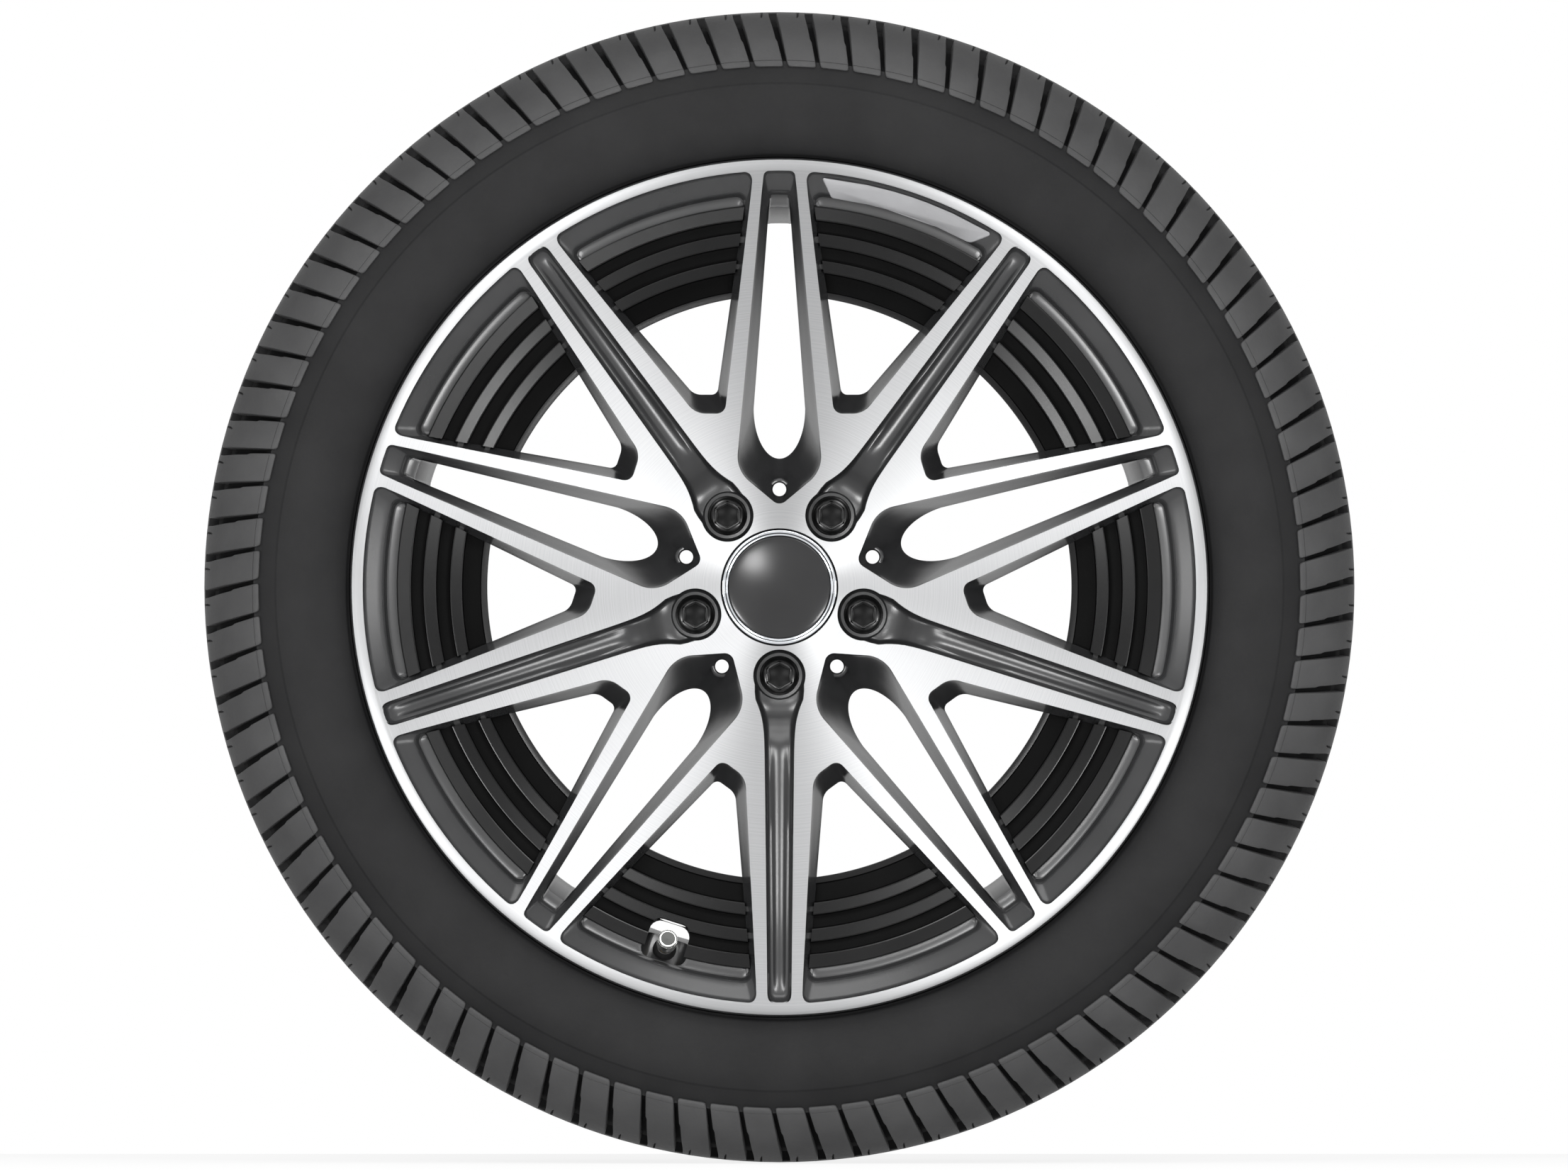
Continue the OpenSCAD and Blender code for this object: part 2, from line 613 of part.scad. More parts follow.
module cap_clip() {
    color([0.06, 0.06, 0.07])
    difference() {
        union() {
            translate([0, 0, cap_seat_z]) cylinder(r = cap_r - 1.6, h = clip_t);
            translate([0, 0, bore_len + 3])
                cylinder(r = cap_disc_r + 2.3, h = cap_seat_z - bore_len - 3 + over);
        }
        translate([0, 0, bore_len]) cylinder(r = cap_disc_r, h = cap_seat_z - bore_len);
        for (a = [0 : 60 : 300]) rotate([0, 0, a]) translate([0, -3, bore_len])
            cube([cap_r + 5, 6, cap_seat_z - bore_len - 4]);
    }
}

module cap_ring() {
    color([0.85, 0.86, 0.88])
    rotate_extrude() difference() {
        union() {
            translate([cap_disc_r + fit, cap_seat_z + clip_t])
                square([cap_r - cap_disc_r - fit, cap_h - 4.5]);
            intersection() {
                translate([(cap_r + cap_disc_r) / 2, cap_seat_z + cap_h - 2.9]) circle(r = 2.9);
                translate([cap_disc_r + fit, cap_seat_z + clip_t]) square([cap_r - cap_disc_r - fit, cap_h]);
            }
            translate([cap_r - 1.5, cap_seat_z + 0.1]) square([1.5, 3]);
        }
    }
}

module cap_disc() {
    dome_R = 260;
    dome_h = 1.6;
    color([0.23, 0.23, 0.24])
    rotate_extrude() intersection() {
        translate([0, cap_seat_z + clip_t]) square([cap_disc_r, cap_h]);
        translate([0, cap_seat_z + cap_h - 2.3 + dome_h - dome_R]) circle(r = dome_R, $fn = 720);
    }
}

module valve_rubber() {
    color([0.05, 0.05, 0.06])
    at_valve() difference() {
        rotate_extrude() polygon([
            [0, -valve_wall - 5], [rubber_foot_r - 2, -valve_wall - 5], [rubber_foot_r, -valve_wall - 2.5],
            [rubber_foot_r, -valve_wall - 0.1], [valve_hole_r - 0.1, -valve_wall - 0.1],
            [valve_hole_r - 0.1, 0.15], [rubber_r, 0.15], [rubber_r, 1.5], [stem_r + 1.3, 6], [0, 6]]);
        translate([0, 0, -valve_wall - 6]) cylinder(r = stem_r + 0.05, h = valve_wall + 13);
    }
}

module valve_stem() {
    color([0.80, 0.72, 0.45])
    at_valve() difference() {
        union() {
            translate([0, 0, -stem_in]) cylinder(r = stem_r, h = stem_in + stem_out - 0.5);
            translate([0, 0, stem_out - 0.5]) cylinder(r1 = stem_r, r2 = stem_r - 0.5, h = 0.5);
        }
        translate([0, 0, screw_in - stem_in + 1.8]) cylinder(r = stem_bore_r, h = stem_in + stem_out);
        translate([0, 0, screw_in - stem_in + 3]) rotate([0, 90, 0]) cylinder(r = 0.8, h = 10, center = true);
        translate([0, 0, -stem_in - over]) cylinder(r = screw_r + thread_gap, h = over + screw_in + 0.4);
    }
}

module valve_core() {
    color([0.75, 0.66, 0.35])
    at_valve() translate([0, 0, core_top - core_len]) difference() {
        cylinder(r = core_r, h = core_len);
        translate([0, 0, -over]) cylinder(r = core_bore_r, h = core_len + 2 * over);
    }
}

module valve_core_pin() {
    color([0.82, 0.82, 0.80])
    at_valve() {
        translate([0, 0, pin_low]) cylinder(r = pin_r, h = stem_out - pin_sunk - pin_low);
        translate([0, 0, pin_low]) cylinder(r = core_r - 0.3, h = pin_foot_h);
    }
}

module valve_cap() {
    color([0.78, 0.79, 0.80])
    at_valve() translate([0, 0, cap_mouth]) difference() {
        union() {
            cylinder(r = valve_cap_r - 0.25, h = valve_cap_len - 1);
            translate([0, 0, valve_cap_len - 1])
                cylinder(r1 = valve_cap_r - 0.25, r2 = valve_cap_r - 1.2, h = 1);
            for (a = [0 : 15 : 345]) rotate([0, 0, a]) translate([valve_cap_r - 0.7, -0.4, 0.8])
                cube([0.7, 0.8, valve_cap_len - 2.2]);
        }
        translate([0, 0, -over]) cylinder(r = stem_r + thread_gap, h = valve_cap_len - cap_wall_end + over);
    }
}

module valve_cap_seal() {
    color([0.45, 0.08, 0.07])
    at_valve() translate([0, 0, stem_out]) difference() {
        cylinder(r = stem_r - 0.2, h = seal_t);
        translate([0, 0, -over]) cylinder(r = pin_r + 0.4, h = seal_t + 2 * over);
    }
}

module pressure_sensor() {
    color([0.09, 0.09, 0.10])
    at_valve() translate([0, 0, -stem_in - 0.1 - sensor_size[2]]) difference() {
        translate([-sensor_size[0] / 2, sensor_shift - sensor_size[1] / 2, 0]) cube(sensor_size);
        translate([0, 0, -over]) cylinder(r = screw_r + 0.2, h = sensor_size[2] + 2 * over);
        translate([0, 0, -over]) cylinder(r = 3.4, h = 4 + over);
    }
}

module sensor_screw() {
    color([0.70, 0.70, 0.72])
    at_valve() translate([0, 0, -stem_in - 0.1 - sensor_size[2]]) {
        translate([0, 0, 1]) difference() {
            cylinder(r = 3.2, h = 3);
            translate([0, 0, -over]) cylinder(r = 1.6, h = 2 + over, $fn = 6);
        }
        translate([0, 0, 4]) cylinder(r = screw_r, h = sensor_size[2] - 4 + 0.1 + screw_in);
    }
}

module in_place() {
    rotate([90, 0, 0]) children();
}

in_place() wheel();
in_place() tyre();
in_place() aero_insert(1);  // aero_insert_1
in_place() aero_insert(2);  // aero_insert_2
in_place() aero_insert(3);  // aero_insert_3
in_place() aero_insert(4);  // aero_insert_4
in_place() aero_insert(5);  // aero_insert_5
in_place() aero_insert(6);  // aero_insert_6
in_place() aero_insert(7);  // aero_insert_7
in_place() aero_insert(8);  // aero_insert_8
in_place() aero_insert(9);  // aero_insert_9
in_place() aero_insert(10);  // aero_insert_10
in_place() wheel_bolt(1);  // wheel_bolt_1
in_place() wheel_bolt(2);  // wheel_bolt_2
in_place() wheel_bolt(3);  // wheel_bolt_3
in_place() wheel_bolt(4);  // wheel_bolt_4
in_place() wheel_bolt(5);  // wheel_bolt_5
in_place() cap_clip();
in_place() cap_ring();
in_place() cap_disc();
in_place() valve_rubber();
in_place() valve_stem();
in_place() valve_core();
in_place() valve_core_pin();
in_place() valve_cap();
in_place() valve_cap_seal();
in_place() pressure_sensor();
in_place() sensor_screw();
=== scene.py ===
# %% [markdown]
# An alloy road wheel with its tyre, built around a finished engineering model.
# The model is loaded first and stays fixed, because every size is already right in it.
# It gives each part's place, so the dressed parts can be drawn to the same drawing sizes.

# %% Load the frame
import json
import math

import bpy
from mathutils import Matrix, Vector

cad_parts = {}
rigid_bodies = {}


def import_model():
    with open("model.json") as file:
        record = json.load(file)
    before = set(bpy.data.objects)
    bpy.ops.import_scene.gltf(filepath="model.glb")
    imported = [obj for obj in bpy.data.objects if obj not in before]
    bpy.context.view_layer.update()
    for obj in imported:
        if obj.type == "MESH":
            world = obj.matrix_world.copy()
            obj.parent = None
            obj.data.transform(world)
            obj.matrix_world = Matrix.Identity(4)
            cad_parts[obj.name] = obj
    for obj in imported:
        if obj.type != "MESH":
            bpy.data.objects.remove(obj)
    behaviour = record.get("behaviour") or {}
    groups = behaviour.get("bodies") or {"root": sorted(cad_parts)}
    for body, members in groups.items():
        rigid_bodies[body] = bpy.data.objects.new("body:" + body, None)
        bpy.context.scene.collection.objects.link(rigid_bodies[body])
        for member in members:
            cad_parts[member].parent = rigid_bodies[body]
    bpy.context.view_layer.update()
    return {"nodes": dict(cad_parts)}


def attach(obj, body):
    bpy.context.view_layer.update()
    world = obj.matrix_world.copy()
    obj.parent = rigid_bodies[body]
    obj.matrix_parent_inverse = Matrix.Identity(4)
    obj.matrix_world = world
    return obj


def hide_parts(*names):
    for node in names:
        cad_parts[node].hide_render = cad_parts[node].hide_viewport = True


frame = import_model()

# %% [markdown]
# The camera comes first, so that each part can be judged in its final view.
# The photograph looks straight at the wheel's face and shows almost no perspective.
# An orthographic camera would do as well, but a very long lens from far away can still be moved around.
# One pixel of the 2212 x 1659 picture is 0.4483 mm at the wheel's face.
# The wheel's axis is a few pixels off the picture's middle, so the camera moves that far sideways.

# %% Camera
PICTURE = (2212, 1659)
MM_PER_PIXEL = 0.4483
CAMERA_DISTANCE = 30.0
AXIS_PIXEL = (1099.5, 828.4)
FACE_DEPTH = 0.085
SENSOR_WIDTH = 36
CLIP_NEAR, CLIP_FAR = 1, 200

camera_data = bpy.data.cameras.new("camera")
camera = bpy.data.objects.new("camera", camera_data)
bpy.context.scene.collection.objects.link(camera)
frame_width = PICTURE[0] * MM_PER_PIXEL / 1000
right_shift = (PICTURE[0] / 2 - AXIS_PIXEL[0]) * MM_PER_PIXEL / 1000
down_shift = (PICTURE[1] / 2 - AXIS_PIXEL[1]) * MM_PER_PIXEL / 1000
camera.location = (right_shift, -CAMERA_DISTANCE - FACE_DEPTH, -down_shift)
camera.rotation_euler = (math.pi / 2, 0, 0)
camera_data.sensor_fit = "HORIZONTAL"
camera_data.sensor_width = SENSOR_WIDTH
camera_data.lens = SENSOR_WIDTH * CAMERA_DISTANCE / frame_width
camera_data.clip_start, camera_data.clip_end = CLIP_NEAR, CLIP_FAR
bpy.context.scene.camera = camera
print("lens:", round(camera_data.lens), "mm at", CAMERA_DISTANCE, "m")

# %% [markdown]
# The parts are drawn in millimetres with the wheel's axis standing up and its face on top.
# A drawing is easier to read that way, and Blender's own units are then well suited to small bevels.
# At the end of each part it is turned and shrunk into its place in the model, and that is applied.
# The helpers below wrap the operators that every part needs, so that each cell shows only its own shape.

# %% Helpers that select, clean and place
TO_PLACE = Matrix.Rotation(math.pi / 2, 4, "X") @ Matrix.Scale(0.001, 4)


def select_only(*objects):
    """Selects these objects and nothing else, because an operator acts on all that is selected."""
    bpy.ops.object.select_all(action="DESELECT")
    for one in objects:
        one.select_set(True)
    bpy.context.view_layer.objects.active = objects[0]


def edit(obj):
    """Opens a mesh in edit mode with all of it selected."""
    select_only(obj)
    bpy.ops.object.mode_set(mode="EDIT")
    bpy.ops.mesh.select_all(action="SELECT")


def leave_edit():
    """Goes back to object mode, where the mesh can be read."""
    bpy.ops.object.mode_set(mode="OBJECT")


def clean(obj, gap=0.002):
    """Joins doubled points and turns all faces outwards."""
    edit(obj)
    bpy.ops.mesh.remove_doubles(threshold=gap)
    bpy.ops.mesh.normals_make_consistent(inside=False)
    leave_edit()


def put_in_place(obj):
    """Moves a part from the drawing into the wheel."""
    obj.matrix_world = TO_PLACE
    select_only(obj)
    bpy.ops.object.transform_apply(location=True, rotation=True, scale=True)
    return obj


def smooth(obj, angle=30):
    """Shades a part smooth, but keeps edges sharper than the angle."""
    select_only(obj)
    bpy.ops.object.shade_smooth_by_angle(angle=math.radians(angle))


print("a drawing's", 1000, "mm become", round(1000 * TO_PLACE.to_scale().x, 3), "m")


# %% Helpers that make a line, a turned part and a sleeve
def path(name, points):
    """A line through points, made by extruding one vertex."""
    bpy.ops.object.select_all(action="DESELECT")
    bpy.ops.mesh.primitive_plane_add(size=1)
    obj = bpy.context.object
    obj.name = obj.data.name = name
    bpy.ops.object.mode_set(mode="EDIT")
    bpy.ops.mesh.select_mode(type="VERT")
    bpy.ops.mesh.merge(type="CENTER")
    bpy.ops.transform.translate(value=points[0])
    for a, b in zip(points, points[1:]):
        step = [q - p for p, q in zip(a, b)]
        bpy.ops.mesh.extrude_region_move(TRANSFORM_OT_translate={"value": step})
    leave_edit()
    return obj


def turn_on_lathe(name, outline, steps, closed=True):
    """Spins an outline of (radius, height) points around the axis."""
    points = [(r, 0, z) for r, z in outline]
    obj = path(name, points + points[:1] if closed else points)
    edit(obj)
    bpy.ops.mesh.remove_doubles(threshold=0.001)
    bpy.ops.mesh.select_all(action="SELECT")
    bpy.ops.mesh.spin(steps=steps, angle=2 * math.pi, center=(0, 0, 0), axis=(0, 0, 1))
    leave_edit()
    clean(obj)
    return obj


def sleeve(name, rings):
    """Rolls a grid into a tube through rings of points, and fills its two ends."""
    columns, rows = len(rings[0]), len(rings)
    bpy.ops.object.select_all(action="DESELECT")
    bpy.ops.mesh.primitive_grid_add(x_subdivisions=columns, y_subdivisions=rows - 1, size=2)
    obj = bpy.context.object
    obj.name = obj.data.name = name
    for v in obj.data.vertices:
        i = round((v.co.x + 1) / 2 * columns) % columns
        j = round((v.co.y + 1) / 2 * (rows - 1))
        v.co = rings[j][i]
    clean(obj, 0.0005)
    edit(obj)
    bpy.ops.mesh.select_all(action="DESELECT")
    bpy.ops.mesh.select_mode(type="EDGE")
    bpy.ops.mesh.select_non_manifold()
    bpy.ops.mesh.edge_face_add()
    bpy.ops.mesh.select_all(action="SELECT")
    bpy.ops.mesh.normals_make_consistent(inside=False)
    bpy.ops.mesh.select_mode(type="VERT")
    leave_edit()
    return obj


print("a lathe turns an outline, and a sleeve joins rings of equal length")


# %% Helpers that copy, join, cut and round
def copy_turned(obj, angle, name, mirrored=False):
    """A copy with its own mesh, turned clockwise about the axis."""
    twin = obj.copy()
    twin.data = obj.data.copy()
    twin.name = twin.data.name = name
    bpy.context.scene.collection.objects.link(twin)
    turn = Matrix.Rotation(-math.radians(angle), 4, "Z")
    twin.matrix_world = turn @ (Matrix.Scale(-1, 4, (1, 0, 0)) if mirrored else Matrix.Identity(4))
    select_only(twin)
    bpy.ops.object.transform_apply(location=True, rotation=True, scale=True)
    if mirrored:
        clean(twin)
    return twin


def join(objects, name):
    """Makes one object of several; the first one's materials come first."""
    select_only(*objects)
    bpy.ops.object.join()
    objects[0].name = objects[0].data.name = name
    return objects[0]


def cut(obj, tool, operation="DIFFERENCE"):
    """One boolean, applied; the tool is then thrown away."""
    select_only(obj)
    bpy.ops.object.modifier_add(type="BOOLEAN")
    modifier = obj.modifiers[-1]
    modifier.operation = operation
    modifier.solver = "EXACT"
    modifier.object = tool
    bpy.ops.object.modifier_apply(modifier=modifier.name)
    bpy.data.objects.remove(tool)
    return obj


def bevel(obj, width, segments=2, angle=30):
    """Rounds all edges that are sharper than the angle."""
    select_only(obj)
    bpy.ops.object.modifier_add(type="BEVEL")
    modifier = obj.modifiers[-1]
    modifier.width = width
    modifier.segments = segments
    modifier.limit_method = "ANGLE"
    modifier.angle_limit = math.radians(angle)
    bpy.ops.object.modifier_apply(modifier=modifier.name)


print("booleans are exact, and a bevel rounds edges over 30 degrees")


# %% Helpers for sums
def blend_between(a, b, t):
    """The value a share t of the way from a to b."""
    return a + (b - a) * t


def soft_step(t):
    """Climbs from 0 to 1 with a soft start and a soft end."""
    t = min(max(t, 0), 1)
    return t * t * (3 - 2 * t)


def clockwise(x, y, angle):
    """A point turned clockwise around the axis, as seen from the front."""
    c, s = math.cos(math.radians(angle)), math.sin(math.radians(angle))
    return x * c + y * s, y * c - x * s


print("a quarter turn takes", (0, 1), "to", tuple(round(c, 3) for c in clockwise(0, 1, 90)))

# %% [markdown]
# The wheel starts as the blank that a foundry casts: a full disc and rim turned around the axis.
# Its outline is one closed line, with the hub bore, the bead seats, the well and the two flanges.
# The front is part of a large sphere, because the machined face of this wheel is a shallow dish.
# A cylinder cut to shape would need many more steps than one outline that is spun.
# The faces that the lathe tool leaves bright get a second material slot here, before any hole is cut.

# %% The wheel's drawing sizes
# Radii (R) and heights over the mounting face (Z), in millimetres
LIP_R, LIP_Z = 263.5, 99.65
FACE_EDGE_R = 264.2
RIM_R, BEAD_R, WELL_R, BARREL_R = 271.5, 253.9, 236.0, 230.5
OUT_Z, IN_Z = 82.65, -158.65
LEDGE_Z, LEDGE_DROP = 80.05, 2.0
INSERT_R, WALL_SLOPE = 242.1, 0.44
FACE_SPHERE_R, FACE_SPHERE_Z = 627.1, 668.05
CAP_R = 37.0
SPOKES = 5
STEP = 360 / SPOKES
SECTOR = STEP / 2
LATHE_STEPS = 240


def face_z(r):
    """Height of the dished face."""
    return FACE_SPHERE_Z - math.sqrt(FACE_SPHERE_R ** 2 - r ** 2)


def wall_z(r):
    """Height at which the walls of a pocket end."""
    return LEDGE_Z - LEDGE_DROP - WALL_SLOPE * (INSERT_R - r)


def rounded(outline, radius, least=18):
    """Rounds each sharp corner of a closed outline with three points."""
    out = []
    for i, p in enumerate(outline):
        a, p, b = (Vector(q) for q in (outline[i - 1], p, outline[(i + 1) % len(outline)]))
        u, v = (a - p), (b - p)
        bend = 180 - math.degrees(u.angle(v))
        size = min(radius * math.tan(math.radians(bend / 2)), u.length * 0.4, v.length * 0.4)
        if bend < least:
            out.append(tuple(p))
            continue
        start, end = p + u.normalized() * size, p + v.normalized() * size
        middle = (start + end + p * 2) / 4
        out += [tuple(start), tuple(middle), tuple(end)]
    return out


print("the face is", round(face_z(LIP_R) - face_z(CAP_R), 2), "mm deep between cap and rim")

# %% The blank
back_outline = [
    (33.6, 0), (76, 0), (80, 6), (226.5, 58.05), (233.1, 58.6), (BARREL_R, 50), (BARREL_R, 2.6),
    (245.9, IN_Z + 48), (246.7, IN_Z + 3), (252.9, IN_Z - 3), (255.9, IN_Z - 9), (258.9, IN_Z - 12),
    (269.5, IN_Z - 12), (RIM_R, IN_Z - 10), (RIM_R, IN_Z - 8), (270.5, IN_Z - 4), (268, IN_Z - 1.2),
    (264.5, IN_Z), (256.9, IN_Z), (BEAD_R, IN_Z + 2.5), (252.3, IN_Z + 18), (254.6, IN_Z + 21.5),
    (254.6, IN_Z + 23), (250.9, IN_Z + 26), (247.9, IN_Z + 48), (WELL_R, 2.6), (WELL_R, 45.6),
    (251.4, 56.6), (254.6, 59.6), (254.6, 61.1), (252.3, 64.6), (BEAD_R, OUT_Z - 2.5), (256.9, OUT_Z),
    (264.5, OUT_Z), (268, OUT_Z + 1.2), (270.5, OUT_Z + 4), (RIM_R, OUT_Z + 8)]
lip_outline = [(RIM_R, LIP_Z - 3.2), (271.2, LIP_Z - 1.8), (270.3, LIP_Z - 0.7), (268.8, LIP_Z - 0.05),
               (266.6, LIP_Z), (264.9, LIP_Z - 0.15)]
FACE_ROWS = 28
face_radii = [FACE_EDGE_R - (FACE_EDGE_R - CAP_R - 0.3) * i / FACE_ROWS for i in range(FACE_ROWS + 1)]
face_outline = [(r, face_z(r)) for r in face_radii]
hub_outline = [(37.3, 35), (35, 35), (35, 14), (33.6, 14)]

wheel = turn_on_lathe(
    "wheel_casting", rounded(back_outline, 2.5) + lip_outline + face_outline + hub_outline, LATHE_STEPS)
print("blank:", len(wheel.data.polygons), "faces")


# %% Painted and turned faces
def add_slots(obj, *names):
    """Gives a mesh its material slots; the materials get their nodes in later cells."""
    for name in names:
        obj.data.materials.append(bpy.data.materials.get(name) or bpy.data.materials.new(name))


def is_turned(polygon, mesh):
    """True on the front skin outside the cap's seat."""
    corners = [mesh.vertices[i].co for i in polygon.vertices]
    radii = [math.hypot(*corner.xy) for corner in corners]
    low = min(corner.z - face_z(min(r, FACE_EDGE_R)) for corner, r in zip(corners, radii))
    return low > -1.0 and min(radii) > CAP_R and polygon.normal.z > 0.2


add_slots(wheel, "painted", "turned")
for polygon in wheel.data.polygons:
    polygon.material_index = 1 if is_turned(polygon, wheel.data) else 0
print("turned faces:", sum(p.material_index for p in wheel.data.polygons))

# %% [markdown]
# The windows, slots and grooves are the spaces that the foundry's cores leave in the casting.
# Each space is drawn as a tube through several outlines, from above the face down through the back.
# The outlines shrink on the way down, which gives the walls their draft and the pockets their soft floor.
# One boolean then takes all of them out of the blank, and their faces keep the painted slot.

# %% The way down into a pocket
# The rim's wall as (radius, height); the share of the draft and of the depth reached at each ring
OUTER_WALL = [(263.5, 104), (263.4, 98.3), (262.7, 96.7), (260.6, 95.1), (256, 91.9), (251.6, 88.7),
              (249.9, 86.7), (249.0, 83.0), (248.3, 80.9), (246.9, 80.05), (240.7, 80.05),
              (239.0, 76.8), (230.7, 50.0), (230.7, -8)]
SHARES = [0, 0.03, 0.09, 0.22, 0.45, 0.68, 0.86, 0.95, 0.985, 1, 1, 1, 1, 1]
DEPTHS = [-1, 0.06, 0.15, 0.3, 0.52, 0.74, 0.9, 0.965, 0.99, 1, 1.02, 1.1, 2, 3]
ABOVE_FACE, BELOW_WALL, WALL_REACH, CORE_END_Z = 6, 25, 15, -8


def fillet(a, p, b, radius, count):
    """Points of a round corner at p, between the lines towards a and b."""
    a, p, b = Vector(a), Vector(p), Vector(b)
    u, v = (a - p).normalized(), (b - p).normalized()
    half = u.angle(v) / 2
    centre = p + (u + v).normalized() * radius / math.sin(half)
    s, e = p + u * radius / math.tan(half) - centre, p + v * radius / math.tan(half) - centre
    swing = s.angle_signed(e)
    points = []
    for i in range(count + 1):
        q = s.copy()
        q.rotate(Matrix.Rotation(-swing * i / count, 2))
        points.append(centre + q)
    return points


def meet_circle(a, b, radius):
    """Where the line from a to b comes out of a circle around the axis."""
    a, run = Vector(a), (Vector(b) - Vector(a)).normalized()
    along = a.dot(run)
    return a + run * (-along + math.sqrt(along ** 2 - a.length_squared + radius ** 2))


def between(a, b, count):
    """Evenly spaced points on the line from a to b, without its ends."""
    return [a + (b - a) * (i + 1) / (count + 1) for i in range(count)]


print("a pocket passes", len(DEPTHS), "rings; its walls end at", round(wall_z(LIP_R), 1), "mm near the rim")


# %% Outlines of windows and slots
def window_sides(share):
    """The two spoke flanks beside a window, each from its root to the rim."""
    left = [Vector((34.4 + 6.75 * share, 109.6)), Vector((16.1 + 3 * share, LIP_R))]
    right = [Vector(clockwise(-21.3 - 7.5 * share, 120.6, SECTOR)),
             Vector(clockwise(-14 - 3 * share, LIP_R, SECTOR))]
    return left, right


def window_outline(share, outer_r):
    """A window: two straight flanks, a rounded root and an arc along the rim."""
    root_y = 109.6 + 12.4 * share
    left, right = window_sides(share)
    li = left[0] + (left[1] - left[0]) * (root_y - left[0].y) / (left[1].y - left[0].y)
    ri = right[0] + (right[1] - right[0]) * (root_y - right[0].y) / (right[1].y - right[0].y)
    lo, ro = meet_circle(*left, outer_r), meet_circle(*right, outer_r)
    on_arc = [clockwise(0, outer_r, math.degrees(math.atan2(q.x, q.y)) + d)
              for q, d in ((lo, 1.5), (ro, -1.5))]
    small, large = blend_between(6, 4.2, share), blend_between(14, 10, share)
    a = fillet(ri, li, lo, small, 7)
    b = fillet(li, lo, on_arc[0], 5, 6)
    c = fillet(on_arc[1], ro, ri, 5, 6)
    d = fillet(ro, ri, li, large, 9)
    angles = [math.atan2(q.x, q.y) for q in (b[-1], c[0])]
    arc = [Vector(clockwise(0, outer_r, math.degrees(blend_between(*angles, i / 15))))
           for i in range(1, 15)]
    return (a + between(a[-1], b[0], 9) + b + arc + c + between(c[-1], d[0], 9) + d
            + between(d[-1], a[0], 4))


def slot_outline(share, outer_r):
    """A slot: pointed at the face, with an oval hole at its bottom, and narrow towards the rim."""
    tip, wide, top = (0, 50.6), (27.6, 73.5), (9.8, LIP_R + 3)
    face_arc = fillet((-wide[0], wide[1]), tip, wide, 6, 10)[5:] + fillet(tip, wide, top, 20, 11)
    hole_arc = [Vector((16.3 * math.sin(t), 113 - 31.5 * math.cos(t)))
                for t in (math.pi / 2 * i / (len(face_arc) - 1) for i in range(len(face_arc)))]
    arc = [a.lerp(b, share) for a, b in zip(face_arc, hole_arc)]
    end = Vector((blend_between(9.8, 4.6, share), LIP_R + 3))
    out = meet_circle(arc[-1], end, outer_r)
    turn = fillet(arc[-1], out, (0, math.sqrt(outer_r ** 2 + 1)), blend_between(4, 2.2, share), 5)
    half = arc + between(arc[-1], turn[0], 10) + turn
    return half + [Vector((0, outer_r))] + [Vector((-p.x, p.y)) for p in reversed(half[1:])]


def side_height(depth, top, low):
    """Height on a pocket's side: over the face, down its wall, or out through the back."""
    if depth < 0:
        return top + ABOVE_FACE
    if depth <= 1:
        return blend_between(top, low, depth)
    return low - BELOW_WALL * (depth - 1)


def pocket(name, outline):
    """A tube through the outlines of one pocket, from above the face to below the back."""
    rings = []
    for share, depth, (outer_r, outer_z) in zip(SHARES, DEPTHS, OUTER_WALL):
        ring = []
        for p, at_face, at_wall in zip(outline(share, outer_r), outline(0, outer_r), outline(1, outer_r)):
            top, low = face_z(min(at_face.length, FACE_EDGE_R)), wall_z(at_wall.length)
            near_rim = soft_step(1 - (outer_r - p.length) / WALL_REACH)
            ring.append((p.x, p.y, blend_between(side_height(depth, top, low), outer_z, near_rim)))
        rings.append(ring)
    rings[-1] = [(x, y, CORE_END_Z) for x, y, _ in rings[-1]]
    return sleeve(name, rings)


print("points around a window:", len(window_outline(0, LIP_R)), "and around a slot:",
      len(slot_outline(0, LIP_R)))

# %% Windows and slots
window = pocket("window_core", window_outline)
slot = pocket("slot_core", slot_outline)
print("window core:", len(window.data.polygons), "faces; slot core:", len(slot.data.polygons))

# The small hole behind each slot's point stands in a low boss
PIN_HOLE_R = 62.0
boss = turn_on_lathe(
    "boss", [(0, -20), (7.4, -20), (7.4, 25.5), (7.1, 26.6), (6.2, 27.4), (5.1, 27.6), (0, 27.6)], 32)
boss.data.transform(Matrix.Translation((0, PIN_HOLE_R, 0)))
cut(slot, boss)

# %% [markdown]
# A single spoke carries a groove that opens into the round basin of its bolt.
# Its floor is crowned along the middle, and this crown catches the long highlight of the photograph.
# A box swept along the spoke would have a flat floor and one width from end to end.
# So the groove's tube is drawn across the spoke at many places, each a little shallower or narrower.

# %% Sections of a groove
BASIN_HALF, BASIN_FLOOR = 15.8, 24.8
GROOVE_DEPTH, GROOVE_RISE, CROWN_HEIGHT = 9.5, 3.8, 2.3


def groove_half(u):
    """Half of the groove's width at a distance u from the axis; it flares into the basin."""
    run = blend_between(9.6, 7.7, (u - 97) / (LIP_R - 97))
    return min(run + 9.5 * math.exp(-((u - 56) / 20) ** 2), BASIN_HALF)


def groove_floor(u):
    """Height of the groove's floor; it climbs out of the basin and rises a little at the rim."""
    climb = soft_step((u - 72.6) / 30)
    near_rim = soft_step((u - 205) / 62)
    return blend_between(BASIN_FLOOR, face_z(u) - GROOVE_DEPTH + GROOVE_RISE * near_rim, climb)


